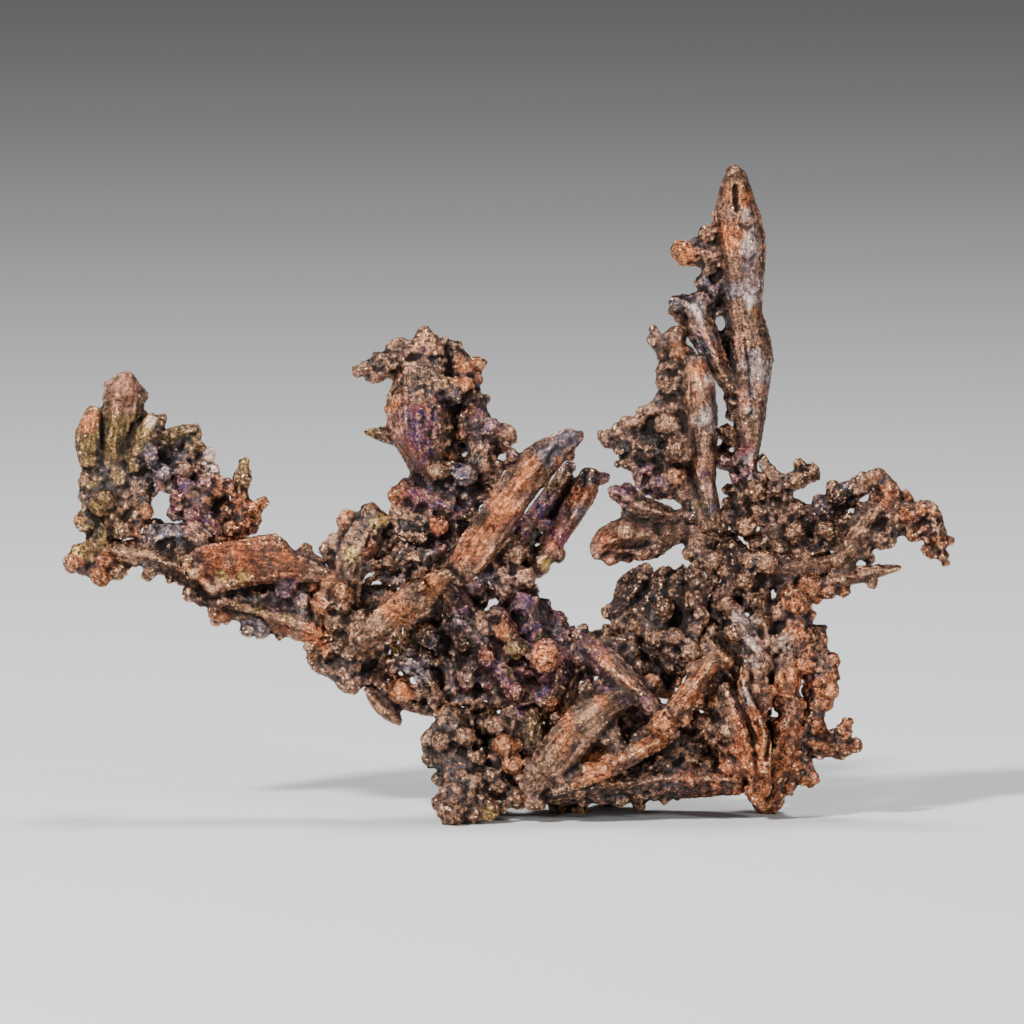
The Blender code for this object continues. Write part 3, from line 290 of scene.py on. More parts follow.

# %% [markdown]
# ## Knobs that fill
#
# Two more lists make the growth as dense as the real one. Filling knobs close pinholes between
# branches: across, down, radius and tarnish. About a hundred of their 130 places were not drawn by
# eye: a separate gap-finding program listed them. That makes this table a poor example to copy.
#
# Pads thicken the trunk and the base where the metal swells towards the viewer, so they also say
# how far back they sit, and a negative depth is nearer.

# %% Draw the filling knobs and the pads
# Most filling knobs are nearly black: painted shade deep in the gaps between branches.
FILLING_KNOBS = (
    (681, 318, 7, "b"), (181, 551, 7, "b"), (392, 641, 7, "k"), (717, 311, 7, "k"), (169, 487, 7, "s"),
    (329, 558, 7, "b"), (586, 688, 9, "k"), (598, 684, 7, "k"), (707, 235, 7, "b"), (762, 480, 7, "b"),
    (411, 535, 7, "t"), (422, 537, 7, "t"), (402, 532, 5, "k"), (714, 579, 7, "k"), (683, 514, 7, "b"),
    (691, 517, 6, "b"), (746, 606, 7, "k"), (442, 646, 8, "k"), (454, 457, 7, "k"), (85, 496, 7, "b"),
    (427, 517, 7, "k"), (372, 566, 6, "k"), (400, 580, 8, "s"), (628, 557, 6, "r"), (618, 557, 5, "r"),
    (368, 662, 7, "b"), (729, 490, 6, "b"), (669, 495, 6, "v"), (847, 517, 7, "k"), (222, 519, 6, "r"),
    (923, 528, 7, "r"), (539, 538, 6, "v"), (504, 605, 7, "v"), (418, 692, 7, "b"), (905, 498, 7, "o"),
    (633, 650, 7, "k"), (543, 713, 8, "k"), (695, 713, 6, "k"), (802, 780, 6, "o"), (503, 806, 6, "b"),
    (723, 336, 5, "k"), (446, 343, 6, "b"), (454, 441, 6, "v"), (731, 442, 6, "b"), (726, 503, 6, "k"),
    (761, 522, 6, "b"), (248, 629, 9, "s"), (262, 629, 9, "s"), (578, 635, 6, "v"), (620, 640, 6, "k"),
    (312, 647, 7, "t"), (484, 740, 7, "k"), (470, 730, 7, "k"), (600, 730, 8, "k"), (572, 700, 9, "k"),
    (556, 718, 9, "k"), (240, 590, 8, "k"), (262, 588, 8, "k"), (216, 622, 5, "o"), (776, 491, 7, "b"),
    (786, 486, 8, "t"), (796, 481, 8, "t"), (806, 475, 8, "t"), (850, 574, 7, "b"), (862, 572, 7, "t"),
    (875, 570, 6, "t"), (887, 569, 5, "r"), (926, 537, 5, "r"), (228, 481, 5, "m"), (126, 387, 13, "p"),
    (116, 394, 11, "p"), (136, 395, 10, "p"), (190, 563, 8, "t"), (184, 557, 8, "t"), (198, 572, 8, "t"),
    (733, 172, 7, "o"), (369, 581, 5, "k"), (437, 657, 5, "k"), (420, 585, 8, "k"), (721, 449, 6, "k"),
    (385, 581, 6, "k"), (672, 311, 6, "b"), (486, 399, 6, "k"), (729, 399, 6, "k"), (731, 415, 6, "k"),
    (831, 486, 6, "b"), (256, 519, 6, "b"), (171, 547, 6, "k"), (682, 570, 6, "k"), (483, 603, 6, "k"),
    (505, 614, 6, "k"), (396, 634, 6, "k"), (383, 691, 6, "k"), (463, 418, 6, "k"), (460, 446, 7, "k"),
    (626, 513, 5, "k"), (153, 522, 5, "k"), (390, 525, 5, "k"), (888, 528, 5, "b"), (342, 531, 5, "b"),
    (828, 542, 5, "k"), (127, 566, 5, "k"), (85, 571, 5, "b"), (638, 664, 5, "k"), (684, 326, 5, "b"),
    (731, 405, 5, "k"), (570, 456, 5, "b"), (507, 465, 5, "k"), (452, 467, 7, "k"), (658, 495, 5, "k"),
    (87, 505, 5, "b"), (859, 505, 5, "k"), (158, 522, 5, "k"), (841, 522, 5, "k"), (253, 528, 6, "b"),
    (147, 527, 5, "k"), (724, 527, 5, "k"), (210, 540, 5, "k"), (597, 555, 5, "b"), (378, 566, 5, "k"),
    (437, 568, 5, "k"), (822, 629, 5, "b"), (596, 633, 5, "k"), (280, 637, 5, "k"), (413, 655, 5, "k"),
    (678, 684, 5, "k"), (820, 755, 5, "b"), (664, 800, 5, "b"), (482, 490, 6, "k"), (486, 478, 6, "k"),
)
PADS = (
    (612, 787, -24, 12, "b"), (630, 782, -25, 12, "b"), (648, 775, -25, 13, "b"), (664, 764, -24, 12, "b"),
    (675, 751, -22, 11, "b"), (690, 758, -20, 12, "t"), (704, 766, -20, 12, "b"), (690, 773, -24, 12, "r"),
    (672, 778, -25, 12, "b"), (655, 788, -24, 11, "b"), (713, 778, -22, 11, "r"), (700, 784, -22, 10, "b"),
    (638, 793, -22, 9, "b"), (620, 797, -20, 9, "b"), (598, 795, -24, 10, "b"), (580, 790, -28, 9, "t"),
    (716, 684, -22, 11, "b"), (721, 703, -24, 12, "b"), (727, 725, -24, 12, "b"), (733, 748, -24, 12, "b"),
    (742, 768, -26, 11, "r"), (752, 690, -30, 11, "t"), (760, 668, -24, 11, "t"), (745, 712, -30, 9, "o"),
    (752, 600, -12, 10, "b"), (760, 622, -13, 11, "b"), (772, 645, -15, 11, "t"), (786, 640, -13, 11, "t"),
    (765, 562, -12, 12, "t"), (748, 560, -12, 11, "b"), (744, 580, -12, 10, "b"), (778, 612, -12, 10, "b"),
    (790, 705, -16, 12, "b"), (784, 728, -16, 12, "r"), (776, 750, -18, 11, "b"), (806, 655, -8, 11, "r"),
    (560, 752, -42, 12, "t"), (572, 738, -42, 12, "o"), (586, 724, -40, 12, "o"), (603, 711, -38, 10, "t"),
    (606, 664, -28, 11, "o"), (620, 678, -30, 11, "o"), (634, 692, -32, 10, "t"), (500, 700, -8, 11, "b"),
    (512, 715, -8, 11, "b"), (522, 735, -8, 12, "b"), (530, 758, -10, 12, "b"), (515, 775, -10, 12, "b"),
    (500, 750, -8, 12, "b"), (505, 790, -8, 10, "k"), (545, 690, -10, 10, "v"), (560, 675, -10, 10, "v"),
)
print(len(FILLING_KNOBS), "filling knobs and", len(PADS), "pads")

# %% [markdown]
# ## Patches of tarnish
#
# Colour also changes over whole stretches of the growth. A patch is a soft round spot on the board:
# across, down, radius and tarnish. Later patches lie over earlier ones, and the knobs' own tarnish
# lies over them all.

# %% Draw the patches
PATCHES = (
    (115, 430, 60, "g"), (122, 395, 26, "p"), (88, 425, 14, "o"), (90, 455, 14, "g"), (150, 425, 12, "y"),
    (175, 435, 20, "g"), (160, 465, 24, "s"), (105, 500, 40, "g"), (120, 500, 20, "t"), (95, 565, 30, "r"),
    (100, 540, 18, "g"), (135, 552, 25, "t"), (185, 495, 26, "v"), (205, 520, 16, "v"), (240, 510, 26, "r"),
    (170, 535, 20, "s"), (240, 560, 48, "r"), (210, 565, 20, "r"), (285, 565, 24, "r"), (255, 552, 14, "o"),
    (222, 578, 9, "p"), (243, 574, 8, "y"), (192, 576, 12, "t"), (213, 588, 10, "t"), (255, 614, 24, "t"),
    (290, 622, 24, "t"), (255, 625, 12, "g"), (318, 636, 14, "o"), (285, 595, 22, "v"), (345, 545, 34, "t"),
    (380, 522, 12, "y"), (352, 553, 10, "y"), (370, 550, 12, "r"), (345, 600, 34, "t"), (350, 665, 36, "b"),
    (410, 360, 44, "b"), (425, 345, 16, "p"), (465, 375, 20, "o"), (395, 405, 16, "o"), (400, 430, 22, "p"),
    (430, 400, 18, "m"), (425, 425, 20, "v"), (440, 432, 14, "t"), (415, 455, 22, "r"), (378, 433, 16, "k"),
    (372, 430, 8, "g"), (480, 420, 26, "v"), (480, 455, 22, "t"), (463, 478, 14, "s"), (415, 493, 22, "v"),
    (450, 510, 24, "v"), (400, 518, 20, "t"), (440, 526, 13, "r"), (412, 560, 26, "t"), (475, 520, 20, "k"),
    (470, 558, 24, "r"), (485, 540, 18, "o"), (505, 512, 22, "r"), (500, 500, 14, "o"), (528, 478, 18, "o"),
    (548, 456, 16, "s"), (570, 438, 14, "s"), (497, 545, 12, "t"), (468, 572, 14, "t"), (585, 490, 24, "r"),
    (588, 478, 12, "s"), (560, 540, 20, "m"), (545, 505, 24, "v"), (525, 525, 16, "v"), (415, 595, 26, "t"),
    (380, 622, 20, "t"), (435, 580, 16, "t"), (355, 645, 14, "b"), (510, 640, 80, "v"), (480, 625, 20, "t"),
    (505, 632, 14, "o"), (545, 657, 18, "o"), (530, 615, 18, "s"), (515, 648, 14, "g"), (465, 650, 30, "k"),
    (402, 690, 16, "o"), (415, 668, 22, "s"), (383, 707, 18, "b"), (430, 710, 24, "b"), (460, 760, 60, "b"),
    (430, 770, 16, "k"), (508, 752, 22, "o"), (530, 730, 22, "g"), (600, 745, 90, "b"), (560, 755, 34, "t"),
    (590, 718, 30, "t"), (575, 728, 12, "o"), (600, 772, 24, "o"), (650, 745, 24, "o"), (620, 680, 34, "b"),
    (600, 655, 20, "v"), (700, 780, 34, "r"), (690, 690, 26, "o"), (765, 740, 70, "r"), (740, 740, 26, "r"),
    (755, 760, 26, "o"), (757, 690, 14, "o"), (785, 680, 18, "o"), (780, 755, 22, "o"), (750, 625, 26, "b"),
    (765, 620, 14, "t"), (790, 615, 24, "o"), (645, 595, 38, "k"), (660, 640, 30, "b"), (700, 610, 24, "b"),
    (820, 685, 44, "o"), (765, 795, 24, "o"), (738, 230, 60, "p"), (728, 240, 16, "o"), (752, 250, 16, "w"),
    (738, 195, 18, "o"), (755, 290, 18, "w"), (728, 290, 16, "b"), (742, 325, 20, "b"), (760, 370, 22, "w"),
    (740, 400, 20, "b"), (748, 465, 18, "w"), (745, 450, 12, "m"), (735, 500, 24, "b"), (700, 380, 26, "t"),
    (690, 400, 14, "o"), (710, 415, 12, "w"), (700, 460, 18, "p"), (705, 345, 22, "s"), (685, 254, 16, "o"),
    (645, 440, 22, "k"), (670, 420, 16, "t"), (640, 482, 20, "v"), (705, 500, 16, "b"), (650, 530, 50, "b"),
    (610, 540, 18, "r"), (630, 532, 14, "t"), (618, 494, 14, "v"), (790, 525, 40, "b"), (835, 505, 26, "k"),
    (800, 478, 20, "t"), (880, 500, 30, "b"), (915, 520, 34, "b"), (850, 545, 22, "b"), (880, 572, 24, "t"),
    (800, 568, 24, "b"), (735, 555, 22, "k"),
)
FINE_PATCHES = (
    (412, 415, 20, "v"), (428, 432, 18, "v"), (410, 440, 16, "m"), (424, 455, 18, "v"), (402, 462, 12, "r"),
    (388, 398, 12, "t"), (396, 405, 6, "o"), (458, 412, 10, "k"), (462, 446, 9, "k"), (458, 466, 9, "k"),
    (455, 480, 14, "s"), (475, 500, 12, "s"), (447, 500, 12, "v"), (440, 540, 14, "m"), (405, 500, 12, "m"),
    (890, 500, 14, "r"), (920, 515, 12, "o"), (935, 545, 12, "o"), (875, 480, 10, "r"), (905, 505, 10, "t"),
    (752, 640, 14, "w"), (760, 700, 10, "p"), (735, 650, 12, "t"), (725, 700, 10, "p"), (700, 660, 14, "t"),
    (738, 215, 12, "p"), (730, 260, 14, "p"), (742, 340, 14, "p"), (745, 400, 14, "p"), (740, 430, 12, "t"),
    (700, 420, 10, "w"), (712, 430, 7, "w"), (706, 490, 10, "w"), (712, 508, 8, "s"), (695, 310, 10, "w"),
    (745, 615, 16, "w"), (785, 640, 14, "w"), (752, 680, 12, "p"), (748, 700, 8, "w"), (715, 700, 16, "t"),
    (722, 730, 16, "t"), (735, 760, 14, "o"), (795, 720, 16, "o"), (640, 775, 26, "b"), (700, 770, 24, "b"),
    (500, 745, 22, "b"), (455, 700, 16, "t"), (465, 760, 18, "b"), (560, 745, 16, "o"), (590, 722, 14, "t"),
    (395, 574, 12, "k"), (375, 590, 14, "k"), (425, 640, 18, "k"), (445, 622, 12, "k"), (400, 655, 14, "k"),
    (440, 580, 14, "t"), (425, 590, 15, "t"), (408, 603, 16, "t"), (390, 616, 15, "t"), (374, 630, 12, "t"),
    (432, 586, 18, "o"), (400, 608, 22, "o"), (376, 628, 14, "t"), (415, 597, 12, "t"), (452, 571, 7, "k"),
    (728, 230, 16, "o"), (727, 212, 12, "t"), (745, 200, 12, "o"), (733, 180, 12, "t"), (746, 216, 8, "w"),
    (752, 231, 10, "w"), (750, 247, 10, "w"), (748, 268, 10, "s"), (752, 284, 7, "v"), (764, 250, 6, "o"),
    (761, 290, 6, "t"), (750, 304, 8, "w"), (758, 313, 7, "o"), (729, 265, 12, "t"), (731, 290, 13, "s"),
    (727, 322, 12, "b"), (745, 330, 10, "t"), (766, 355, 10, "t"), (752, 356, 8, "s"), (740, 375, 10, "b"),
    (763, 390, 8, "p"), (751, 395, 8, "s"), (749, 412, 7, "w"), (745, 436, 14, "b"), (757, 425, 6, "p"),
    (748, 470, 9, "m"), (753, 465, 7, "o"), (742, 480, 6, "v"), (697, 372, 12, "o"), (709, 378, 8, "w"),
    (708, 390, 5, "v"), (690, 412, 14, "t"), (693, 442, 14, "t"), (714, 402, 7, "w"), (716, 422, 7, "s"),
    (712, 446, 8, "k"), (702, 474, 7, "v"), (706, 490, 8, "p"), (700, 503, 8, "g"), (720, 355, 9, "r"),
    (712, 344, 6, "r"), (684, 302, 8, "s"), (700, 318, 8, "w"), (705, 335, 8, "p"), (714, 352, 6, "p"),
    (428, 342, 14, "p"), (441, 350, 8, "p"), (395, 350, 18, "b"), (372, 370, 14, "b"), (430, 388, 14, "b"),
    (466, 367, 14, "o"), (471, 386, 10, "o"), (390, 393, 11, "t"), (392, 406, 8, "o"), (398, 426, 12, "p"),
    (412, 432, 12, "v"), (425, 442, 14, "v"), (418, 410, 10, "m"), (427, 406, 9, "o"), (446, 425, 9, "p"),
    (442, 442, 10, "p"), (449, 456, 8, "o"), (410, 456, 14, "r"), (452, 410, 9, "r"), (488, 425, 12, "v"),
    (470, 481, 8, "g"), (478, 545, 16, "o"), (490, 526, 13, "r"), (505, 505, 14, "o"), (515, 485, 13, "o"),
    (528, 465, 12, "o"), (520, 505, 8, "p"), (536, 481, 9, "t"), (548, 450, 8, "s"), (560, 445, 9, "s"),
    (573, 440, 9, "s"), (556, 461, 6, "o"), (485, 558, 8, "p"), (491, 549, 6, "p"), (466, 575, 13, "b"),
    (590, 476, 8, "s"), (585, 491, 9, "r"), (578, 510, 8, "s"), (565, 531, 8, "m"), (552, 545, 7, "o"),
    (545, 561, 5, "y"), (215, 555, 18, "r"), (246, 560, 22, "r"), (283, 561, 18, "o"), (230, 560, 9, "b"),
    (222, 577, 8, "y"), (243, 574, 6, "y"), (186, 566, 8, "o"), (200, 581, 8, "o"), (215, 588, 9, "t"),
    (232, 585, 8, "t"), (240, 605, 9, "g"), (260, 610, 9, "g"), (285, 615, 9, "g"), (282, 630, 12, "r"),
    (255, 625, 12, "s"), (310, 632, 12, "o"), (122, 388, 18, "p"), (118, 432, 14, "g"), (91, 420, 12, "o"),
    (88, 445, 10, "g"), (152, 422, 8, "w"), (146, 440, 10, "g"), (185, 431, 10, "g"), (165, 462, 14, "s"),
    (178, 455, 8, "s"), (722, 722, 12, "b"), (745, 690, 7, "w"), (738, 676, 6, "o"), (761, 735, 8, "o"),
    (762, 762, 9, "o"), (786, 684, 7, "b"), (776, 690, 5, "o"), (796, 697, 5, "o"), (790, 722, 14, "b"),
    (775, 750, 10, "t"), (815, 672, 22, "o"), (753, 662, 8, "w"), (760, 640, 8, "p"), (700, 670, 9, "o"),
    (690, 684, 8, "t"), (553, 750, 10, "t"), (566, 716, 10, "o"), (600, 700, 10, "o"), (580, 728, 10, "k"),
    (562, 738, 8, "o"), (590, 722, 8, "t"), (574, 748, 8, "b"), (545, 772, 12, "b"), (605, 660, 12, "o"),
    (628, 682, 8, "o"), (645, 700, 8, "v"), (630, 735, 14, "k"), (664, 722, 10, "o"), (560, 803, 7, "y"),
    (487, 807, 6, "y"),
)
print(len(PATCHES), "broad and", len(FINE_PATCHES), "fine patches of tarnish")

# %% [markdown]
# ## Small helpers for node trees
#
# Geometry Nodes and shader nodes are built the same way: add a node, fill its inputs with values or
# with another node's output, and go on. One helper does that for both, so each tree below reads
# like a recipe.

# %% Node helpers
def put(tree, kind, inputs=(), **settings):
    """Adds a node. An input given as a socket is linked, and one given as a value is set."""
    node = tree.nodes.new(kind)
    for key, value in settings.items():
        setattr(node, key, value)
    for key, value in dict(inputs).items():
        if isinstance(value, bpy.types.NodeSocket):
            tree.links.new(value, node.inputs[key])
        else:
            node.inputs[key].default_value = value
    return node


def maths(tree, operation, first, second):
    return put(tree, "ShaderNodeMath", {0: first, 1: second}, operation=operation).outputs[0]


def plus(tree, first, second):
    return maths(tree, "ADD", first, second)


def minus(tree, first, second):
    return maths(tree, "SUBTRACT", first, second)


def times(tree, first, second):
    return maths(tree, "MULTIPLY", first, second)


def larger(tree, first, second):
    return maths(tree, "MAXIMUM", first, second)


def vector_maths(tree, operation, first, second=(0.0, 0.0, 0.0)):
    return put(tree, "ShaderNodeVectorMath", {0: first, 1: second}, operation=operation).outputs[0]


def scaled(tree, vector, factor):
    node = put(tree, "ShaderNodeVectorMath", {0: vector, "Scale": factor}, operation="SCALE")
    return node.outputs[0]


def ranged(tree, value, low, high, to_low=0.0, to_high=1.0):
    """The value's place between low and high, eased, as a number from to_low to to_high."""
    node = put(tree, "ShaderNodeMapRange", {0: value, 1: low, 2: high, 3: to_low, 4: to_high})
    node.interpolation_type = "SMOOTHSTEP"
    return node.outputs[0]


def new_geometry_tree(name, inputs):
    """An empty Geometry Nodes tree whose inputs are (label, socket kind) pairs."""
    tree = bpy.data.node_groups.new(name, "GeometryNodeTree")
    tree.interface.new_socket("Geometry", in_out="INPUT", socket_type="NodeSocketGeometry")
    for label, kind in inputs:
        tree.interface.new_socket(label, in_out="INPUT", socket_type="NodeSocket" + kind)
    tree.interface.new_socket("Geometry", in_out="OUTPUT", socket_type="NodeSocketGeometry")
    return tree, put(tree, "NodeGroupInput").outputs


def end_tree(tree, geometry, material):
    """Ends a tree in Realize Instances and Set Material."""
    real = put(tree, "GeometryNodeRealizeInstances", {"Geometry": geometry}).outputs[0]
    dressed = put(tree, "GeometryNodeSetMaterial", {"Geometry": real, "Material": material})
    put(tree, "NodeGroupOutput", {"Geometry": dressed.outputs[0]})
    return tree


def use_tree(obj, tree, values):
    """Adds the tree to an object as a modifier, with its inputs set by their identifiers."""
    modifier = obj.modifiers.new(tree.name, "NODES")
    modifier.node_group = tree
    for item in tree.interface.items_tree:
        if item.in_out == "INPUT" and item.name in values:
            modifier[item.identifier] = values[item.name]
    return modifier


def plain_mesh(obj):
    """The object's evaluated mesh as a plain mesh. Its modifiers are then removed."""
    evaluated = obj.evaluated_get(bpy.context.evaluated_depsgraph_get())
    mesh = bpy.data.meshes.new_from_object(evaluated)
    obj.modifiers.clear()
    obj.data = mesh
    return mesh


def link_object(name, mesh):
    obj = bpy.data.objects.new(name, mesh)
    bpy.context.scene.collection.objects.link(obj)
    return obj


def vertex_places(mesh):
    places = np.empty(len(mesh.vertices) * 3, np.float32)
    mesh.vertices.foreach_get("co", places)
    return places.reshape(-1, 3)


def store(mesh, name, values):
    """Stores one number, or one vector, for each vertex."""
    kind, field = ("FLOAT", "value") if values.ndim == 1 else ("FLOAT_VECTOR", "vector")
    layer = mesh.attributes.new(name, kind, "POINT")
    layer.data.foreach_set(field, np.ascontiguousarray(values, np.float32).ravel())


def stored(mesh, name):
    layer = mesh.attributes[name]
    if layer.data_type == "FLOAT":
        values = np.empty(len(mesh.vertices), np.float32)
        layer.data.foreach_get("value", values)
        return values
    values = np.empty(len(mesh.vertices) * 3, np.float32)
    layer.data.foreach_get("vector", values)
    return values.reshape(-1, 3)


print("helpers ready")

# %% [markdown]
# ## Where the knobs sit
#
# A ray is sent into the board at each drawn knob. Where it meets the copper, the knob is set a
# little below the surface, so that it swells out of it. The far side of the growth has never been
# drawn: the same knobs are sent in from behind, moved about a little so that it isn't a mirror
# picture. A knob that misses the copper by a hair goes to the nearest place on it. A filling knob
# sits where the sight line passes closest to the copper, and grows until it touches.

# %% Seat every knob on the copper
FAR_AWAY = 600.0
KNOB_SINK = 0.62
MISS_REACH = 0.8
BRIDGE_OVERLAP = 1.25
MISS_DEPTHS = (-60.0, -40.0, -20.0, 0.0, 20.0, 40.0, 60.0)
BRIDGE_DEPTHS = (-50, 60, 4)
BEHIND_SEED = 11
BEHIND_SHIFT = 9.0
BEHIND_SIZE = (0.75, 1.2)


def branches_in_one_tree():
    """One search tree over all the branches, and the name of each of its faces' branch."""
    corners, faces, owners = [], [], []
    for name in branch_names:
        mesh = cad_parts[name].data
        mesh.calc_loop_triangles()
        start = len(corners)
        corners += [vertex.co.copy() for vertex in mesh.vertices]
        for triangle in mesh.loop_triangles:
            faces.append([start + index for index in triangle.vertices])
            owners.append(name)
    return BVHTree.FromPolygons(corners, faces), owners


copper_tree, face_owners = branches_in_one_tree()


def seat(across, down, radius, side):
    """The centre and the branch of a knob that comes in from the front (side 1) or behind (-1)."""
    sight = INTO_BOARD * side
    hit, _, face, _ = copper_tree.ray_cast(from_board(across, down, -FAR_AWAY * side), sight)
    if hit is not None:
        return hit + sight * (radius * BOARD_UNIT * KNOB_SINK), face_owners[face]
    tries = [from_board(across, down, depth) for depth in MISS_DEPTHS]
    found = [(*copper_tree.find_nearest(place), place) for place in tries]
    nearest, _, face, distance, place = min(found, key=lambda one: one[3])
    reach = min(1.0, radius * BOARD_UNIT * MISS_REACH / max(distance, 1e-9))
    return nearest + (place - nearest) * reach, face_owners[face]


def bridge(across, down, radius):
    """The centre, radius and branch of a knob set as deep as the copper nearest to its sight line."""
    found = []
    for depth in range(*BRIDGE_DEPTHS):
        place = from_board(across, down, depth)
        _, _, face, distance = copper_tree.find_nearest(place)
        found.append((distance, place, face))
    distance, place, face = min(found, key=lambda one: one[0])
    return place, max(radius * BOARD_UNIT, distance * BRIDGE_OVERLAP), face_owners[face]


knobs = {name: [] for name in branch_names}
for across, down, radius, letter in FILLING_KNOBS:
    centre, size, owner = bridge(across, down, radius)
    knobs[owner].append((centre, size, letter))
for across, down, depth, radius, letter in PADS:
    centre = from_board(across, down, depth)
    owner = face_owners[copper_tree.find_nearest(centre)[2]]
    knobs[owner].append((centre, radius * BOARD_UNIT, letter))
for across, down, radius, letter in DRAWN_KNOBS:
    centre, owner = seat(across, down, radius, 1)
    knobs[owner].append((centre, radius * BOARD_UNIT, letter))

behind = np.random.default_rng(BEHIND_SEED)
for across, down, radius, letter in DRAWN_KNOBS:
    shift = behind.normal(0.0, BEHIND_SHIFT, 2)
    size = radius * behind.uniform(*BEHIND_SIZE)
    centre, owner = seat(across + shift[0], down + shift[1], size, -1)
    knobs[owner].append((centre, size * BOARD_UNIT, letter))
print({name: len(rows) for name, rows in knobs.items()})

# %% [markdown]
# ## Where the copper is smooth
#
# Knobs and crumbs cover most of the growth, but its blades and limbs are bare metal with fine
# ridges along them. Each blade is a stroke on the board. Near a stroke, a vertex learns two things:
# how bare the metal is there, and its place along and across the stroke, which stretches the grain
# of the metal the right way.

# %% Draw the blades
BLADES = (
    (20, (735, 178), (739, 245), (741, 300), (750, 352), (750, 400), (747, 440)),
    (17, (463, 568), (485, 535), (505, 510), (522, 485), (540, 462), (572, 440)),
    (14, (448, 573), (420, 592), (395, 612), (362, 640)),
    (20, (196, 560), (240, 562), (318, 572)),
    (10, (225, 604), (260, 616), (312, 630)),
    (9, (105, 550), (150, 553), (180, 567), (213, 588)),
    (18, (532, 778), (552, 763), (575, 732), (616, 702)),
    (10, (592, 648), (620, 675), (648, 702)),
    (9, (712, 660), (680, 700)),
    (13, (728, 690), (742, 735), (758, 788)),
    (13, (787, 680), (778, 720), (764, 790)),
    (9, (748, 665), (757, 715), (762, 785)),
    (8, (728, 600), (750, 640), (768, 655)),
    (9, (760, 590), (765, 640)),
    (14, (697, 378), (699, 410), (700, 450), (706, 492), (712, 522)),
    (12, (690, 306), (708, 335), (718, 362), (727, 388)),
    (11, (590, 472), (585, 490), (570, 515), (555, 540), (540, 565)),
    (8, (568, 475), (545, 500), (520, 535)),
    (15, (126, 388), (121, 425), (116, 452)),
    (9, (94, 412), (87, 455)),
    (17, (592, 551), (630, 528), (664, 528)),
    (10, (640, 535), (705, 528)),
    (9, (765, 570), (800, 567), (835, 562)),
    (13, (840, 560), (860, 530), (878, 505)),
    (7, (835, 580), (870, 572), (898, 568)),
    (8, (370, 694), (385, 712), (398, 723)),
    (11, (403, 400), (410, 440), (425, 470)),
    (9, (403, 487), (435, 505)),
    (6, (580, 776), (620, 758), (662, 736)),
)


def along_blade(board, stroke):
    """For each place: distance from the stroke, how far along it, and how far to its side."""
    best = np.full(len(board), 1e9)
    along = np.zeros(len(board))
    aside = np.zeros(len(board))
    run = 0.0
    for start, end in zip(stroke, stroke[1:]):
        start = np.array(start, float)
        step = np.array(end, float) - start
        length = float(np.hypot(*step))
        ahead = (board[:, :2] - start) @ step / length
        side = (board[:, :2] - start) @ np.array([-step[1], step[0]]) / length
        past = np.maximum(np.maximum(-ahead, ahead - length), 0.0)
        distance = np.hypot(side, past)
        closer = distance < best
        best[closer] = distance[closer]
        along[closer] = run + ahead[closer]
        aside[closer] = side[closer]
        run += length
    return best, along, aside


GRAIN_STRETCH = 0.14
GRAIN_APART = 50.0
BARE_EDGE = 1.6


def lay_grain(mesh):
    """Stores how bare each vertex is, and its place in the grain of the nearest blade."""
    board = to_board(vertex_places(mesh).astype(float))
    bare = np.zeros(len(board))
    grain = board * BOARD_UNIT
    for index, (width, *stroke) in enumerate(BLADES):
        distance, along, aside = along_blade(board, stroke)
        share = np.clip(BARE_EDGE - distance / width, 0.0, 1.0)
        closer = share > bare
        bare[closer] = share[closer]
        place = np.stack([along * GRAIN_STRETCH + GRAIN_APART * index, aside, board[:, 2]], axis=1)
        grain[closer] = place[closer] * BOARD_UNIT
    store(mesh, "bare", bare)
    store(mesh, "grain", grain)
    return float(bare.mean())


print(len(BLADES), "blades")

# %% [markdown]
# ## Growing the crust
#
# The knobs and the smaller crumbs between them are what repeats here, so Geometry Nodes set them. A
# knob is a jagged lump: a little ball whose corners are thrown about and wrapped in a convex hull,
# which leaves flat crystal faces. A few such lumps are made, and each point gets one of them, turned
# at random. Crumbs are then strewn over branch and knobs alike. A voxel remesh fuses it all
# into one closed skin, as the real metal grew together.

# %% Build the crust tree
LUMP_KINDS = 6
LUMP_BALL = 0.92
LUMP_JAG = 0.22
LUMP_STRETCH = (0.80, 1.22)
CRUMB_JAG = 0.3
CRUMB_RADII = (0.00028, 0.00062)
CRUMB_DENSITY = 2.0e6
CLUSTER_SCALE = 260.0


def jagged_lump(tree, seed, subdivisions, jag):
    """A lump of about radius 1 with flat crystal faces."""
    ball = put(tree, "GeometryNodeMeshIcoSphere", {"Radius": LUMP_BALL, "Subdivisions": subdivisions})
    throw = put(
        tree, "FunctionNodeRandomValue", {0: (-jag,) * 3, 1: (jag,) * 3, "Seed": seed},
        data_type="FLOAT_VECTOR",
    )
    moved = put(tree, "GeometryNodeSetPosition", {0: ball.outputs[0], "Offset": throw.outputs[0]})
    return put(tree, "GeometryNodeConvexHull", {0: moved.outputs[0]}).outputs[0]


def lump_shelf(tree, seed, subdivisions, jag):
    """Several lumps as instances, to pick from."""
    shelf = put(tree, "GeometryNodeGeometryToInstance")
    for kind in range(LUMP_KINDS):
        tree.links.new(jagged_lump(tree, seed + kind, subdivisions, jag), shelf.inputs[0])
    return shelf.outputs[0]


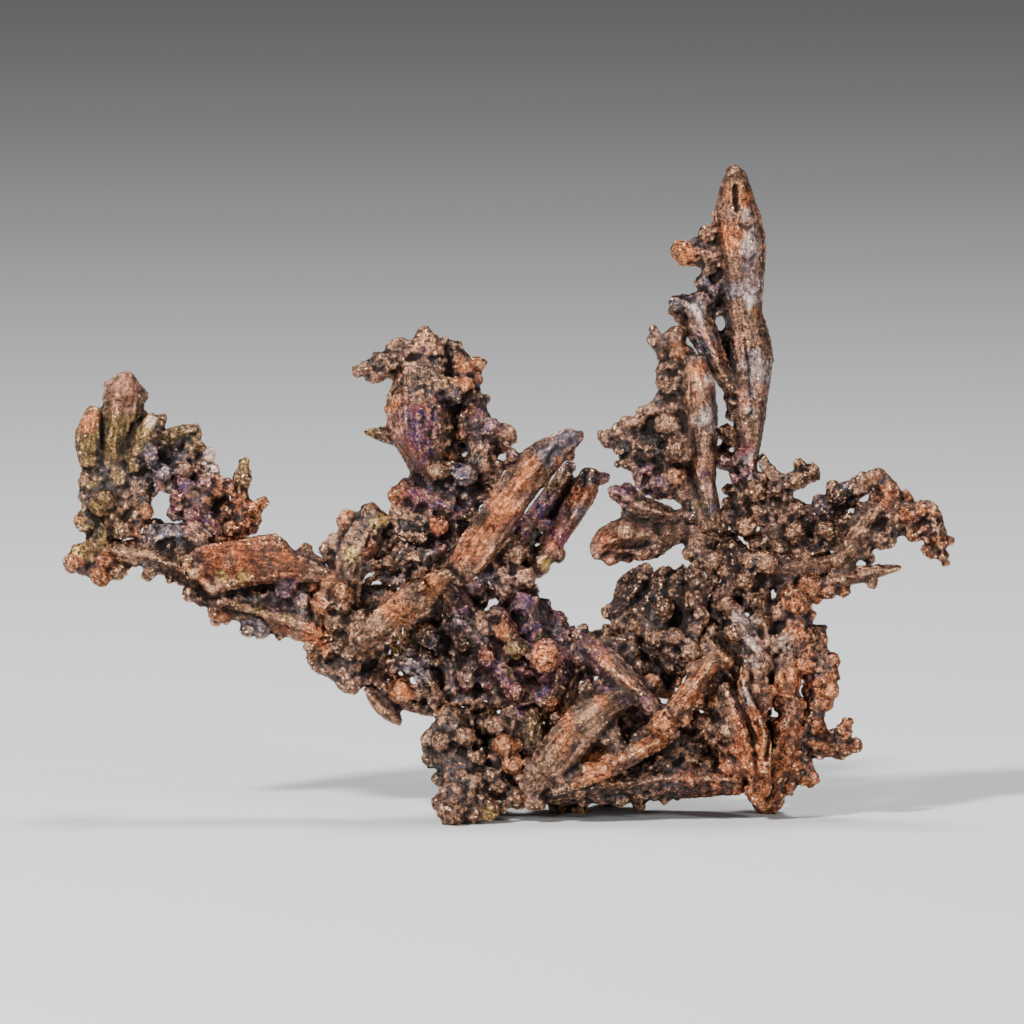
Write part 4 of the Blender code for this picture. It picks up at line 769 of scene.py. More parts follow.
def set_lumps(tree, points, shelf, size, seed):
    """One lump on each point, turned at random and of the given size."""
    turn = put(
        tree, "FunctionNodeRandomValue", {0: (0.0,) * 3, 1: (math.tau,) * 3, "Seed": seed},
        data_type="FLOAT_VECTOR",
    )
    pick = put(
        tree, "FunctionNodeRandomValue", {4: 0, 5: LUMP_KINDS - 1, "Seed": seed + 1}, data_type="INT"
    )
    rotation = put(tree, "FunctionNodeEulerToRotation", {0: turn.outputs[0]})
    stretch = put(
        tree, "FunctionNodeRandomValue",
        {0: (LUMP_STRETCH[0],) * 3, 1: (LUMP_STRETCH[1],) * 3, "Seed": seed + 2}, data_type="FLOAT_VECTOR",
    )
    size = scaled(tree, stretch.outputs[0], size)
    return put(
        tree, "GeometryNodeInstanceOnPoints",
        {
            "Points": points, "Instance": shelf, "Pick Instance": True,
            "Instance Index": pick.outputs[2], "Rotation": rotation.outputs[0], "Scale": size,
        },
    ).outputs[0]


def crust_tree():
    """Knobs on the seated points and crumbs over everything, joined to the bare branch."""
    tree, given = new_geometry_tree("grow_crust", (
        ("Knob points", "Object"), ("Crumb spacing", "Float"), ("Seed", "Int"), ("Copper", "Material"),
    ))
    seats = put(tree, "GeometryNodeObjectInfo", {"Object": given["Knob points"]})
    radius = put(tree, "GeometryNodeInputNamedAttribute", {"Name": "radius"}).outputs[0]
    knob_shelf = lump_shelf(tree, 20, 3, LUMP_JAG)
    grown = set_lumps(tree, seats.outputs["Geometry"], knob_shelf, radius, 5)
    real_knobs = put(tree, "GeometryNodeRealizeInstances", {0: grown}).outputs[0]
    joined = put(tree, "GeometryNodeJoinGeometry")
    tree.links.new(given["Geometry"], joined.inputs[0])
    tree.links.new(real_knobs, joined.inputs[0])

    clustered = put(
        tree, "ShaderNodeTexNoise",
        {"Vector": put(tree, "GeometryNodeInputPosition").outputs[0], "Scale": CLUSTER_SCALE, "Detail": 1.0},
    ).outputs[0]
    bare = put(tree, "GeometryNodeInputNamedAttribute", {"Name": "bare"}).outputs[0]
    covered = ranged(tree, bare, 0.45, 0.15)
    strewn = put(
        tree, "GeometryNodeDistributePointsOnFaces",
        {
            "Mesh": joined.outputs[0], "Distance Min": given["Crumb spacing"], "Density Max": CRUMB_DENSITY,
            "Density Factor": times(tree, ranged(tree, clustered, 0.50, 0.66), covered),
            "Seed": given["Seed"],
        },
        distribute_method="POISSON",
    )
    crumb_size = put(
        tree, "FunctionNodeRandomValue", {2: CRUMB_RADII[0], 3: CRUMB_RADII[1], "Seed": 3},
        data_type="FLOAT",
    ).outputs[1]
    crumbs = set_lumps(tree, strewn.outputs[0], lump_shelf(tree, 40, 2, CRUMB_JAG), crumb_size, 9)
    everything = put(tree, "GeometryNodeJoinGeometry")
    tree.links.new(joined.outputs[0], everything.inputs[0])
    tree.links.new(crumbs, everything.inputs[0])
    return end_tree(tree, everything.outputs[0], given["Copper"])


grow_crust = crust_tree()
print(len(grow_crust.nodes), "nodes in", grow_crust.name)

# %% [markdown]
# ## Fusing a branch
#
# The coarse solid is rounded first, because real copper has no such big flats. Then the crust
# is grown on it and the whole is fused at a fine voxel. Swelling the skin by a fifth of a
# millimetre, fusing it again and shrinking it back closes the tight crevices between knobs, as the
# metal fills them when it grows, and leaves the rest where it was. Bubbles and crumbs that touch
# nothing are left over from such a fusion, and they are dropped: only the largest island stays.

# %% Fuse branches, knobs and crumbs
VOXEL = 0.00024
WELD = 0.000001
CRUMB_SPACING = 0.0019
BARE_SWELL = 0.00024
BARE_HOLD = 0.45
ROUNDING = 5
CREVICE = 0.00022


def live_socket(sockets, name):
    """The socket of that name which the node's data type has switched on."""
    return next(socket for socket in sockets if socket.name == name and socket.enabled)


def island_size(tree):
    """For each vertex, how many vertices its island has."""
    island = put(tree, "GeometryNodeInputMeshIsland").outputs[0]
    count = put(tree, "GeometryNodeAccumulateField", {0: 1.0, "Group ID": island}, data_type="FLOAT")
    return count.outputs["Total"]


def largest_island(tree, geometry):
    """The geometry without its smaller islands."""
    size = island_size(tree)
    top = put(tree, "GeometryNodeAttributeStatistic", {"Geometry": geometry}, data_type="FLOAT")
    tree.links.new(size, live_socket(top.inputs, "Attribute"))
    biggest = live_socket(top.outputs, "Max")
    small = put(
        tree, "FunctionNodeCompare", {0: size, 1: times(tree, biggest, 0.5)},
        data_type="FLOAT", operation="LESS_THAN",
    )
    return put(
        tree, "GeometryNodeDeleteGeometry", {"Geometry": geometry, "Selection": small.outputs[0]}
    ).outputs[0]


def tidy_tree():
    """The tree that keeps only the largest island."""
    tree, given = new_geometry_tree("drop_loose_bits", (("Copper", "Material"),))
    return end_tree(tree, largest_island(tree, given["Geometry"]), given["Copper"])


def bare_branch(name):
    """The coarse solid of a branch, with its loose triangles merged and swelled a little."""
    shape = bmesh.new()
    shape.from_mesh(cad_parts[name].data)
    bmesh.ops.remove_doubles(shape, verts=shape.verts, dist=WELD)
    for vertex in shape.verts:
        vertex.co += vertex.normal * BARE_SWELL
    mesh = bpy.data.meshes.new(name + "_bare")
    shape.to_mesh(mesh)
    shape.free()
    lay_grain(mesh)
    return mesh


def knob_points(name):
    """A mesh of bare points, one for each knob of the branch, that carry the knobs' radii."""
    mesh = bpy.data.meshes.new(name + "_knob_points")
    mesh.from_pydata([centre for centre, _, _ in knobs[name]], [], [])
    store(mesh, "radius", np.array([radius for _, radius, _ in knobs[name]]))
    return link_object(mesh.name, mesh)


def smooth(obj, title, iterations):
    easing = obj.modifiers.new(title, "SMOOTH")
    easing.factor = 0.5
    easing.iterations = iterations
    return easing


def fuse(obj, title):
    fusing = obj.modifiers.new(title, "REMESH")
    fusing.mode = "VOXEL"
    fusing.voxel_size = VOXEL


def grown_branch(name, seed, copper):
    """The branch with its crust, fused into one skin."""
    points = knob_points(name)
    obj = link_object(name + "_crust", bare_branch(name))
    dividing = obj.modifiers.new("dividing", "SUBSURF")
    dividing.subdivision_type = "SIMPLE"
    dividing.levels = 2
    dividing.render_levels = 2
    rounding = smooth(obj, "rounding", ROUNDING)
    soft = obj.vertex_groups.new(name="soft")
    for index, bare in enumerate(stored(obj.data, "bare")):
        soft.add([index], 1.0 - BARE_HOLD * float(bare), "REPLACE")
    rounding.vertex_group = "soft"
    use_tree(obj, grow_crust, {
        "Knob points": points, "Crumb spacing": CRUMB_SPACING, "Seed": seed, "Copper": copper,
    })
    fuse(obj, "fusing")
    for title, distance in (("swelling", CREVICE), ("shrinking", -CREVICE)):
        moving = obj.modifiers.new(title, "DISPLACE")
        moving.mid_level = 0.0
        moving.strength = distance
        fuse(obj, title + "_fused")
    smooth(obj, "easing", 1)
    use_tree(obj, drop_loose_bits, {"Copper": copper})
    plain_mesh(obj)
    bpy.data.objects.remove(points)
    return obj


drop_loose_bits = tidy_tree()
blank_copper = bpy.data.materials.new("blank_copper")
crusts = {name: grown_branch(name, 100 + k, blank_copper) for k, name in enumerate(branch_names)}
print(sum(len(obj.data.polygons) for obj in crusts.values()), "faces in the fused crusts")

# %% Lay the grain on the fused crusts
bare_shares = {name: lay_grain(obj.data) for name, obj in crusts.items()}
print("bare metal:", {name: round(share, 2) for name, share in bare_shares.items()})

# %% [markdown]
# ## Carving facets, ridges and slits
#
# The blades aren't round rods. Each has flat facets that meet in a sharp ridge, a raised lip or a
# dark slit. They are drawn as strokes again: a half-width, a height in board units that is negative
# for a slit, and a path. The surface near a stroke moves along the sight line, most of all on the
# stroke and evenly less to its sides, which leaves a facet on each side. The far side of a
# branch gets the same strokes, so that a blade has two good faces.

# %% Draw the carvings
CARVINGS = {
    "spire": (
        (19, 6.0, (735, 176), (737, 215), (739, 258), (740, 300), (741, 335), (743, 400), (744, 445)),
        (4, -8.0, (735, 188), (735, 199), (736, 210)),
        (6, 2.5, (746, 214), (752, 220)),
        (7, 2.5, (748, 236), (752, 248)),
        (6, 2.0, (750, 268), (751, 286)),
        (5, 2.0, (750, 302), (752, 314)),
        (2.5, -2.5, (740, 226), (747, 230), (757, 222)),
        (2.5, -2.5, (741, 258), (748, 262), (760, 250)),
        (2.5, -2.5, (743, 290), (752, 296), (760, 292)),
        (2.5, -2.5, (759, 225), (764, 245), (760, 290), (757, 328)),
        (9, 4.0, (758, 345), (759, 372), (756, 395)),
        (3, -3.0, (744, 340), (748, 365), (750, 398)),
        (3, -3.5, (744, 420), (751, 412)),
        (6, 3.0, (748, 462), (753, 480)),
        (7, 4.0, (686, 306), (700, 318), (712, 348), (727, 390)),
        (2.5, -2.0, (700, 345), (712, 372)),
    ),
    "spire_side": (
        (10, 5.0, (692, 368), (702, 390), (706, 420), (704, 450), (700, 475), (706, 500), (712, 520)),
        (2.5, -3.0, (713, 395), (716, 420), (712, 445)),
        (2.5, -2.5, (690, 385), (692, 420), (696, 460)),
    ),
    "blade_branch": (
        (14, 4.0, (480, 545), (508, 508), (524, 480), (540, 460), (556, 442)),
        (5, -5.0, (440, 554), (453, 570), (472, 586)),
        (3, -2.0, (516, 524), (530, 498), (541, 476)),
        (5, 3.5, (495, 545), (486, 558), (478, 574)),
        (3, -1.5, (475, 552), (490, 528)),
        (4, -3.0, (548, 462), (556, 446)),
        (8, 4.0, (591, 470), (590, 488), (577, 512), (560, 536)),
        (2.5, -2.0, (585, 480), (580, 500), (566, 522)),
        (14, 2.5, (440, 590), (418, 606), (395, 622)),
        (6, 3.0, (568, 476), (546, 502), (522, 535)),
    ),
    "left_arm": (
        (9, 4.0, (180, 562), (196, 576), (213, 591), (232, 586), (252, 577)),
        (20, 2.5, (240, 545), (238, 572)),
        (18, 2.5, (280, 540), (278, 572)),
        (3, -3.0, (283, 541), (299, 559)),
        (7, 4.0, (222, 602), (250, 608), (285, 616), (322, 632)),
        (2.5, -3.0, (236, 612), (262, 618), (276, 636)),
        (6, 3.0, (105, 550), (150, 553), (180, 566), (200, 580)),
        (2.5, 2.0, (255, 584), (264, 598)),
    ),
    "left_tip": (
        (3.5, -4.0, (101, 408), (103, 430), (103, 448)),
        (3.5, -5.0, (133, 424), (129, 450)),
        (3, -1.2, (106, 404), (120, 408), (143, 404)),
        (8, 3.0, (118, 412), (115, 450)),
        (7, 3.0, (90, 412), (87, 452)),
        (6, 3.0, (155, 420), (142, 450)),
        (4, 3.0, (168, 436), (196, 429)),
    ),
    "head_branch": (
        (7, 3.0, (426, 332), (446, 353)),
        (7, 3.0, (426, 332), (413, 350)),
        (3, -3.0, (411, 354), (430, 358), (449, 356)),
        (3, -2.0, (402, 392), (401, 410), (406, 440)),
        (3, -2.0, (434, 408), (430, 440)),
        (8, 3.0, (390, 386), (390, 415), (402, 450)),
        (9, 4.0, (418, 395), (418, 430), (422, 460)),
        (4, 4.0, (440, 407), (456, 426)),
        (4, 3.0, (362, 431), (394, 433)),
        (5, 3.0, (388, 508), (424, 526)),
    ),
    "right_trunk": (
        (10, 5.0, (722, 684), (738, 720), (752, 770)),
        (3, -2.5, (742, 705), (750, 730), (755, 755)),
        (4, 6.0, (736, 662), (742, 685), (752, 706)),
        (5, 4.0, (758, 716), (765, 738), (762, 775)),
        (9, 4.0, (752, 668), (756, 690)),
        (3, 3.0, (774, 672), (776, 694), (798, 698)),
        (6, -3.0, (784, 674), (788, 688)),
        (4, -8.0, (770, 712), (768, 735), (765, 758)),
        (8, 4.0, (795, 706), (778, 735), (766, 770)),
        (5, 3.0, (728, 602), (750, 640), (768, 656)),
        (5, 3.0, (762, 596), (767, 645)),
    ),
    "base_crust": (
        (14, 3.0, (548, 765), (562, 740), (582, 720), (606, 706)),
        (6, 3.5, (588, 648), (612, 668), (648, 700)),
        (3, -3.0, (604, 644), (622, 662), (646, 690)),
        (5, 3.0, (712, 660), (684, 698)),
        (2, -3.0, (656, 716), (664, 712), (672, 720), (668, 730), (658, 730)),
        (4, 3.0, (556, 790), (600, 768), (640, 750), (668, 734)),
    ),
    "leaf_branch": (
        (9, 4.0, (592, 550), (612, 540), (650, 534)),
        (3, -3.0, (604, 547), (630, 548), (655, 543)),
        (4, 3.0, (616, 492), (640, 507), (665, 514)),
    ),
    "shoulder_cluster": (
        (9, 4.0, (647, 570), (636, 588), (622, 610)),
        (5, 3.0, (663, 573), (656, 603)),
    ),
    "short_fingers": (
        (5, 3.0, (768, 493), (812, 473)),
    ),
    "right_branch": (
        (9, 4.0, (840, 562), (858, 532), (876, 508)),
        (4, 3.0, (835, 580), (898, 568)),
        (5, 3.0, (932, 515), (937, 538), (942, 556)),
    ),
    "centre_mass": (
        (4, 4.0, (388, 660), (412, 664), (430, 682), (438, 700)),
        (6, 3.0, (368, 692), (385, 710), (398, 722)),
        (6, 3.0, (388, 688), (418, 684)),
    ),
    "arm_root": (
        (8, 3.5, (382, 520), (362, 545), (345, 560)),
        (4, 3.0, (308, 656), (316, 669), (332, 672)),
        (4, 4.0, (332, 645), (324, 662)),
        (3, -4.0, (374, 526), (366, 546)),
    ),
}
CARVE_STRENGTH = 0.65
FRONT_CELL = 3.0
SKIN_DEPTH = 6.0
FADE_DEPTH = 8.0


def outer_share(mesh, board, side):
    """How far each vertex belongs to the outermost surface on one side of the board."""
    normals = np.empty(len(mesh.vertices) * 3, np.float32)
    mesh.vertices.foreach_get("normal", normals)
    facing = normals.reshape(-1, 3) @ np.array(INTO_BOARD) * -side
    depth = board[:, 2] * side
    cells = np.floor(board[:, :2] / FRONT_CELL).astype(int)
    cells -= cells.min(axis=0)
    column = cells[:, 0] * (cells[:, 1].max() + 1) + cells[:, 1]
    nearest = np.full(column.max() + 1, np.inf)
    np.minimum.at(nearest, column, depth)
    buried = depth - nearest[column]
    return np.clip(facing * 3.0, 0.0, 1.0) * np.clip(1.0 - (buried - SKIN_DEPTH) / FADE_DEPTH, 0.0, 1.0)


def carve(mesh, strokes):
    """Moves the surface along the sight line near each stroke, on both sides of the branch."""
    places = vertex_places(mesh).astype(float)
    board = to_board(places)
    height = np.zeros(len(board))
    for half_width, rise, *stroke in strokes:
        distance = along_blade(board, stroke)[0]
        height += rise * CARVE_STRENGTH * np.clip(1.0 - distance / half_width, 0.0, 1.0)
    for side in (1, -1):
        push = height * outer_share(mesh, board, side) * BOARD_UNIT * -side
        places += np.array(INTO_BOARD) * push[:, None]
    mesh.vertices.foreach_set("co", places.astype(np.float32).ravel())
    mesh.update()


for name, strokes in CARVINGS.items():
    carve(crusts[name].data, strokes)
print(sum(len(strokes) for strokes in CARVINGS.values()), "strokes carved")

# %% [markdown]
# ## The skin
#
# Copper that grew in rock is never smooth. It has lumps of a few millimetres, grains of about one,
# fine grit, and pits where crystals of another mineral sat against it. On the blades the grain is
# drawn out into ridges instead. One tree pushes the surface in and out by all of these, and keeps
# what the colours need later: how far each vertex stands out of its surroundings, measured over a
# fine, a broad and a deep neighbourhood, and a slow wandering value.

# %% Build the skin tree
WANDER_SIZE = 0.0035
SHAKE = 0.0012
LUMP_SIZE = 0.0032
GRAIN_SIZE = 0.00115
SMALL_GRAIN_SIZE = 0.00062
GRIT_SIZE = 0.00060
RIDGE_SIZE = 0.0011
PIT_SIZE = 0.0016
CELL_LEVEL = 0.42
RELIEFS = (("fine_relief", 6), ("broad_relief", 40), ("deep_relief", 160))


def noise(tree, place, size, detail=2.0, roughness=0.55, output=0):
    """Noise whose lumps are about size metres across."""
    inputs = {"Vector": place, "Scale": 1.0 / size, "Detail": detail, "Roughness": roughness}
    return put(tree, "ShaderNodeTexNoise", inputs).outputs[output]


def grains(tree, place, size):
    """Rounded grains that are about size metres across, highest in their middles."""
    inputs = {"Vector": place, "Scale": 1.0 / size}
    return minus(tree, CELL_LEVEL, put(tree, "ShaderNodeTexVoronoi", inputs).outputs[0])


def named(tree, name, kind="FLOAT"):
    return put(tree, "GeometryNodeInputNamedAttribute", {"Name": name}, data_type=kind).outputs[0]


def keep_value(tree, geometry, name, value, kind="FLOAT"):
    """Stores a value on the points of the geometry."""
    return put(
        tree, "GeometryNodeStoreNamedAttribute",
        {"Geometry": geometry, "Name": name, "Value": value}, data_type=kind, domain="POINT",
    ).outputs[0]


def blurred(tree, place, iterations):
    """The place averaged with those of its neighbours, over and over."""
    inputs = {"Value": place, "Iterations": iterations}
    return put(tree, "GeometryNodeBlurAttribute", inputs, data_type="FLOAT_VECTOR").outputs[0]


def skin_tree():
    """The tree that moves each vertex along its normal by the sum of five textures."""
    tree, given = new_geometry_tree("pit_and_grain", (
        ("Lump height", "Float"), ("Grain height", "Float"), ("Grit height", "Float"),
        ("Ridge height", "Float"), ("Pit depth", "Float"), ("Copper", "Material"),
    ))
    place = put(tree, "GeometryNodeInputPosition").outputs[0]
    normal = put(tree, "GeometryNodeInputNormal").outputs[0]
    bare = named(tree, "bare")
    grain_place = named(tree, "grain", "FLOAT_VECTOR")
    wander = noise(tree, place, WANDER_SIZE, 2.0, output=1)
    shaken = vector_maths(tree, "ADD", place, scaled(tree, wander, SHAKE))

    lumps = minus(tree, noise(tree, shaken, LUMP_SIZE, 2.0), 0.5)
    cells = grains(tree, shaken, GRAIN_SIZE)
    small_cells = grains(tree, shaken, SMALL_GRAIN_SIZE)
    grain = plus(tree, cells, times(tree, small_cells, 0.55))
    grit = minus(tree, noise(tree, place, GRIT_SIZE, 3.0, 0.75), 0.5)
    ridges = minus(tree, noise(tree, grain_place, RIDGE_SIZE, 3.0, 0.6), 0.5)
    pits = ranged(tree, noise(tree, shaken, PIT_SIZE, 2.0, 0.6), 0.62, 0.74)

    rough_share = ranged(tree, bare, 0.1, 1.0, 1.0, 0.22)
    parts = (
        times(tree, lumps, given["Lump height"]),
        times(tree, times(tree, grain, given["Grain height"]), rough_share),
        times(tree, grit, given["Grit height"]),
        times(tree, times(tree, ridges, given["Ridge height"]), bare),
        times(tree, times(tree, pits, given["Pit depth"]), -1.0),
    )
    height = parts[0]
    for part in parts[1:]:
        height = plus(tree, height, part)
    pushed = put(
        tree, "GeometryNodeSetPosition",
        {0: given["Geometry"], "Offset": scaled(tree, normal, height)},
    ).outputs[0]
    kept = keep_value(tree, pushed, "wander", wander, "FLOAT_VECTOR")
    for name, iterations in RELIEFS:
        lead = vector_maths(tree, "SUBTRACT", place, blurred(tree, place, iterations))
        relief = put(tree, "ShaderNodeVectorMath", {0: lead, 1: normal}, operation="DOT_PRODUCT")
        kept = keep_value(tree, kept, name, relief.outputs["Value"])
    return end_tree(tree, kept, given["Copper"])


pit_and_grain = skin_tree()
print(len(pit_and_grain.nodes), "nodes in", pit_and_grain.name)

# %% Push the skin in and out
SKIN_HEIGHTS = {
    "Lump height": 0.00045, "Grain height": 0.00040, "Grit height": 0.00042,
    "Ridge height": 0.00040, "Pit depth": 0.00022, "Copper": blank_copper,
}
FACES_KEPT = 0.65
CAD_MARGIN = 0.02
cad_low, cad_high = (np.array(corner) for corner in cad_box)
size_margin = (cad_high - cad_low) * CAD_MARGIN


def stay_in_box(mesh):
    """Keeps the skin within a hair of the coarse model's box, and above the floor it stands on."""
    places = vertex_places(mesh)
    low = cad_low - size_margin
    low[2] = 0.0
    np.clip(places, low, cad_high + size_margin, out=places)
    mesh.vertices.foreach_set("co", places.ravel())
    mesh.update()


def lay_skin(obj):
    """Pushes the skin in and out, thins its faces and keeps it in the box."""
    use_tree(obj, pit_and_grain, SKIN_HEIGHTS)
    thinning = obj.modifiers.new("thinning", "DECIMATE")
    thinning.ratio = FACES_KEPT
    plain_mesh(obj)
    stay_in_box(obj.data)
    obj.data.shade_smooth()


for obj in crusts.values():
    lay_skin(obj)
face_counts = {name: len(obj.data.polygons) for name, obj in crusts.items()}
print(sum(face_counts.values()), "faces after the skin;", max(face_counts.values()), "on the largest")

# %% [markdown]
# ## Painting the tarnish
#
# Each vertex mixes its colour from the patches near it, and then from the knob it belongs to. The
# wandering value moves the lookup about, so that no patch has a round rim.

# %% Paint tarnish and film on each branch
WANDER_REACH = 26.0
WANDER_SHARE = 1.2
PATCH_STRENGTH = 0.85
KNOB_STRENGTH = 0.7
BASE_TARNISH = "b"


def blend_in(colour, film, letter, share):
    """Moves the colour and film towards a tarnish, by a share for each vertex."""
    target, target_film = TARNISH[letter]
    colour += (np.array(target) - colour) * share[:, None]
    film += (target_film - film) * share


def paint(mesh, branch_knobs):
    """Stores each vertex's colour and film."""
    places = vertex_places(mesh).astype(float)
    wander = stored(mesh, "wander") - 0.5
    board = to_board(places)
    colour = np.tile(np.array(TARNISH[BASE_TARNISH][0]), (len(places), 1))
    film = np.full(len(places), TARNISH[BASE_TARNISH][1])
    low, high = board.min(axis=0), board.max(axis=0)
    for across, down, radius, letter in PATCHES + FINE_PATCHES:
        if not (low[0] - radius < across < high[0] + radius and low[1] - radius < down < high[1] + radius):
            continue
        shift = wander * min(WANDER_REACH, radius * WANDER_SHARE)
        distance = np.hypot(board[:, 0] + shift[:, 0] - across, board[:, 1] + shift[:, 1] - down) / radius
        blend_in(colour, film, letter, np.clip(1.6 - 1.6 * distance, 0.0, 1.0) * PATCH_STRENGTH)
    for centre, radius, letter in branch_knobs:
        distance = np.linalg.norm(places - np.array(centre), axis=1) / radius
        blend_in(colour, film, letter, np.clip(3.0 - 2.2 * distance, 0.0, 1.0) * KNOB_STRENGTH)
    paint_layer = mesh.attributes.new("tarnish", "FLOAT_COLOR", "POINT")
    rgba = np.concatenate([colour, np.ones((len(colour), 1))], axis=1)
    paint_layer.data.foreach_set("color", rgba.astype(np.float32).ravel())
    store(mesh, "film", film)


for name, obj in crusts.items():
    paint(obj.data, knobs[name])
print("painted", len(crusts), "branches")

# %% [markdown]
# ## The copper itself
#
# One recipe makes all four finishes. It starts from the painted tarnish and breaks it up with noise at five
# sizes, as metal corrodes grain by grain, and with streaks that follow the grain of the blades. Flanks get
# painted shade and turn to slate, high places are rubbed back to pink copper that is also a painted
# highlight, and hollows hold dark oxide and painted shade. Where there is film, a slow noise picks from
# violet, blue, magenta and gold. Two sets of little cells stand for crystal faces: each face gets a tone of
# its own, partly painted light, and tilts its own way, so that some catch the light, and a few on the
# sharpest crests get a painted glint.

# %% Name the colours and sizes of the finish
# Pink copper on rubbed crests, bright enough to be a painted highlight as well.
WORN_AND_HIGHLIT_COPPER = (0.90, 0.42, 0.20, 1.0)
# A painted glint on a few cells of the sharpest crests.
GLINT_COPPER = (1.0, 0.70, 0.46, 1.0)
# Near black: the dark oxide in the hollows, and the painted shade that lies there too.
DARK_OXIDE_AND_SHADE = (0.012, 0.009, 0.008, 1.0)
SLATE = (0.082, 0.072, 0.074, 1.0)
FACET_SIZE = 0.00055
FACET_TILT = 0.30
GLINT_SIZE = 0.00026
GLINT_TILT = 0.50
GRIT_HEIGHT = 0.00018
SLOW_SIZE = 0.0080
SLATE_SIZE = 0.0060
BROKEN_FILM_SIZE = 0.0040
FILM_SIZE = 0.0019
MIDDLE_SIZE = 0.0011
STREAK_SIZE = 0.00055
SPECK_SIZE = 0.00035
FROST_SIZE = 0.00018
DUST_SIZE = 0.00016
# How far the painted shade darkens the flanks.
FLANK_SHADE = 0.58
FILM_FLICKER = 0.22
FILM_COLOURS = (
    (0.30, (0.030, 0.060, 0.170)), (0.40, (0.080, 0.035, 0.130)), (0.48, (0.170, 0.040, 0.085)),
    (0.55, (0.360, 0.110, 0.040)), (0.64, (0.300, 0.210, 0.075)), (0.74, (0.070, 0.130, 0.135)),
)
print(len(FILM_COLOURS), "film colours")

# %% Shader helpers
def attribute(tree, name, output="Fac"):
    return put(tree, "ShaderNodeAttribute", attribute_name=name).outputs[output]


def mix_colour(tree, share, first, second, blend="MIX"):
    return put(
        tree, "ShaderNodeMix", {"Factor": share, 6: first, 7: second}, data_type="RGBA", blend_type=blend
    ).outputs[2]


def film_ramp(tree, value):
    ramp = put(tree, "ShaderNodeValToRGB", {"Fac": value})
    points = ramp.color_ramp.elements
    while len(points) < len(FILM_COLOURS):
        points.new(0.5)
    for point, (position, colour) in zip(points, FILM_COLOURS):
        point.position = position
        point.color = (*colour, 1.0)
    return ramp.outputs[0]


def crystal_cells(tree, place, size):
    """Cells like crystal faces: three random numbers for each, and the same numbers about zero."""
    cells = put(tree, "ShaderNodeTexVoronoi", {"Vector": place, "Scale": 1.0 / size}).outputs["Color"]
    values = put(tree, "ShaderNodeSeparateColor", {"Color": cells})
    return values.outputs, vector_maths(tree, "SUBTRACT", cells, (0.5, 0.5, 0.5))


print("shader helpers ready")

# %% Layer the finish
def metal_textures(tree):
    """The noises, crystal cells and reliefs that the layers share."""
    place = put(tree, "ShaderNodeTexCoord").outputs["Object"]
    facets, facet_tilt = crystal_cells(tree, place, FACET_SIZE)
    glints, glint_tilt = crystal_cells(tree, place, GLINT_SIZE)
    return {
        "place": place,
        "middle": noise(tree, place, MIDDLE_SIZE, 3.0, 0.65),
        "dust": noise(tree, place, DUST_SIZE, 2.0, 0.7),
        "facets": facets,
        "facet_tilt": facet_tilt,
        "glints": glints,
        "glint_tilt": glint_tilt,
        "bare": attribute(tree, "bare"),
        "fine": attribute(tree, "fine_relief"),
        "broad": attribute(tree, "broad_relief"),
        "deep": attribute(tree, "deep_relief"),
    }


def tarnished(tree, at):
    """The painted tarnish, broken up by noise and streaks, with painted light on each crystal face, and
    darker by painted shade and greyer on the flanks.
    """
    streaks = noise(tree, attribute(tree, "grain", "Vector"), STREAK_SIZE, 3.0, 0.65)
    # The crystal cells and the finest noise make each little face lighter or darker: partly its own tone,
    # partly painted light for faces that catch the lamps or not.
    shades = (
        ranged(tree, at["middle"], 0.30, 0.70, 0.75, 1.20),
        ranged(tree, at["facets"][0], 0.0, 1.0, 0.75, 1.25),
        ranged(tree, at["dust"], 0.30, 0.70, 0.60, 1.45),
        ranged(tree, at["glints"][0], 0.0, 1.0, 0.50, 1.55),
        ranged(tree, noise(tree, at["place"], SLOW_SIZE, 3.0, 0.6), 0.38, 0.62, 0.65, 1.30),
        ranged(tree, streaks, 0.35, 0.65, 0.60, 1.40),
    )
    shade = shades[0]
    for one in shades[1:]:
        shade = times(tree, shade, one)
    lit_top = scaled(tree, attribute(tree, "tarnish", "Color"), shade)
    # Below the tops around them, the flanks get painted shade: the tarnish is darkened and mixed with grey
    # slate.
    slate = ranged(tree, noise(tree, at["place"], SLATE_SIZE, 3.0, 0.6), 0.40, 0.60, 0.15, 0.75)
    slate = times(tree, slate, ranged(tree, at["bare"], 0.2, 1.0, 1.0, 0.35))
    flank = mix_colour(tree, slate, scaled(tree, lit_top, FLANK_SHADE), SLATE)
    lifted = plus(tree, at["broad"], times(tree, minus(tree, at["middle"], 0.5), 0.0005))
    return mix_colour(tree, ranged(tree, lifted, -0.00006, 0.00018), flank, lit_top)


def filmed(tree, at, colour, strength):
    """The colour with oil colours over it, wherever film was painted."""
    flicker = times(tree, minus(tree, at["glints"][2], 0.5), FILM_FLICKER)
    hue = plus(tree, noise(tree, at["place"], FILM_SIZE, 4.0, 0.62), flicker)
    film = times(tree, attribute(tree, "film"), strength)
    broken = ranged(tree, noise(tree, at["place"], BROKEN_FILM_SIZE, 3.0, 0.6), 0.35, 0.60)
    return mix_colour(tree, times(tree, film, broken), colour, film_ramp(tree, hue))


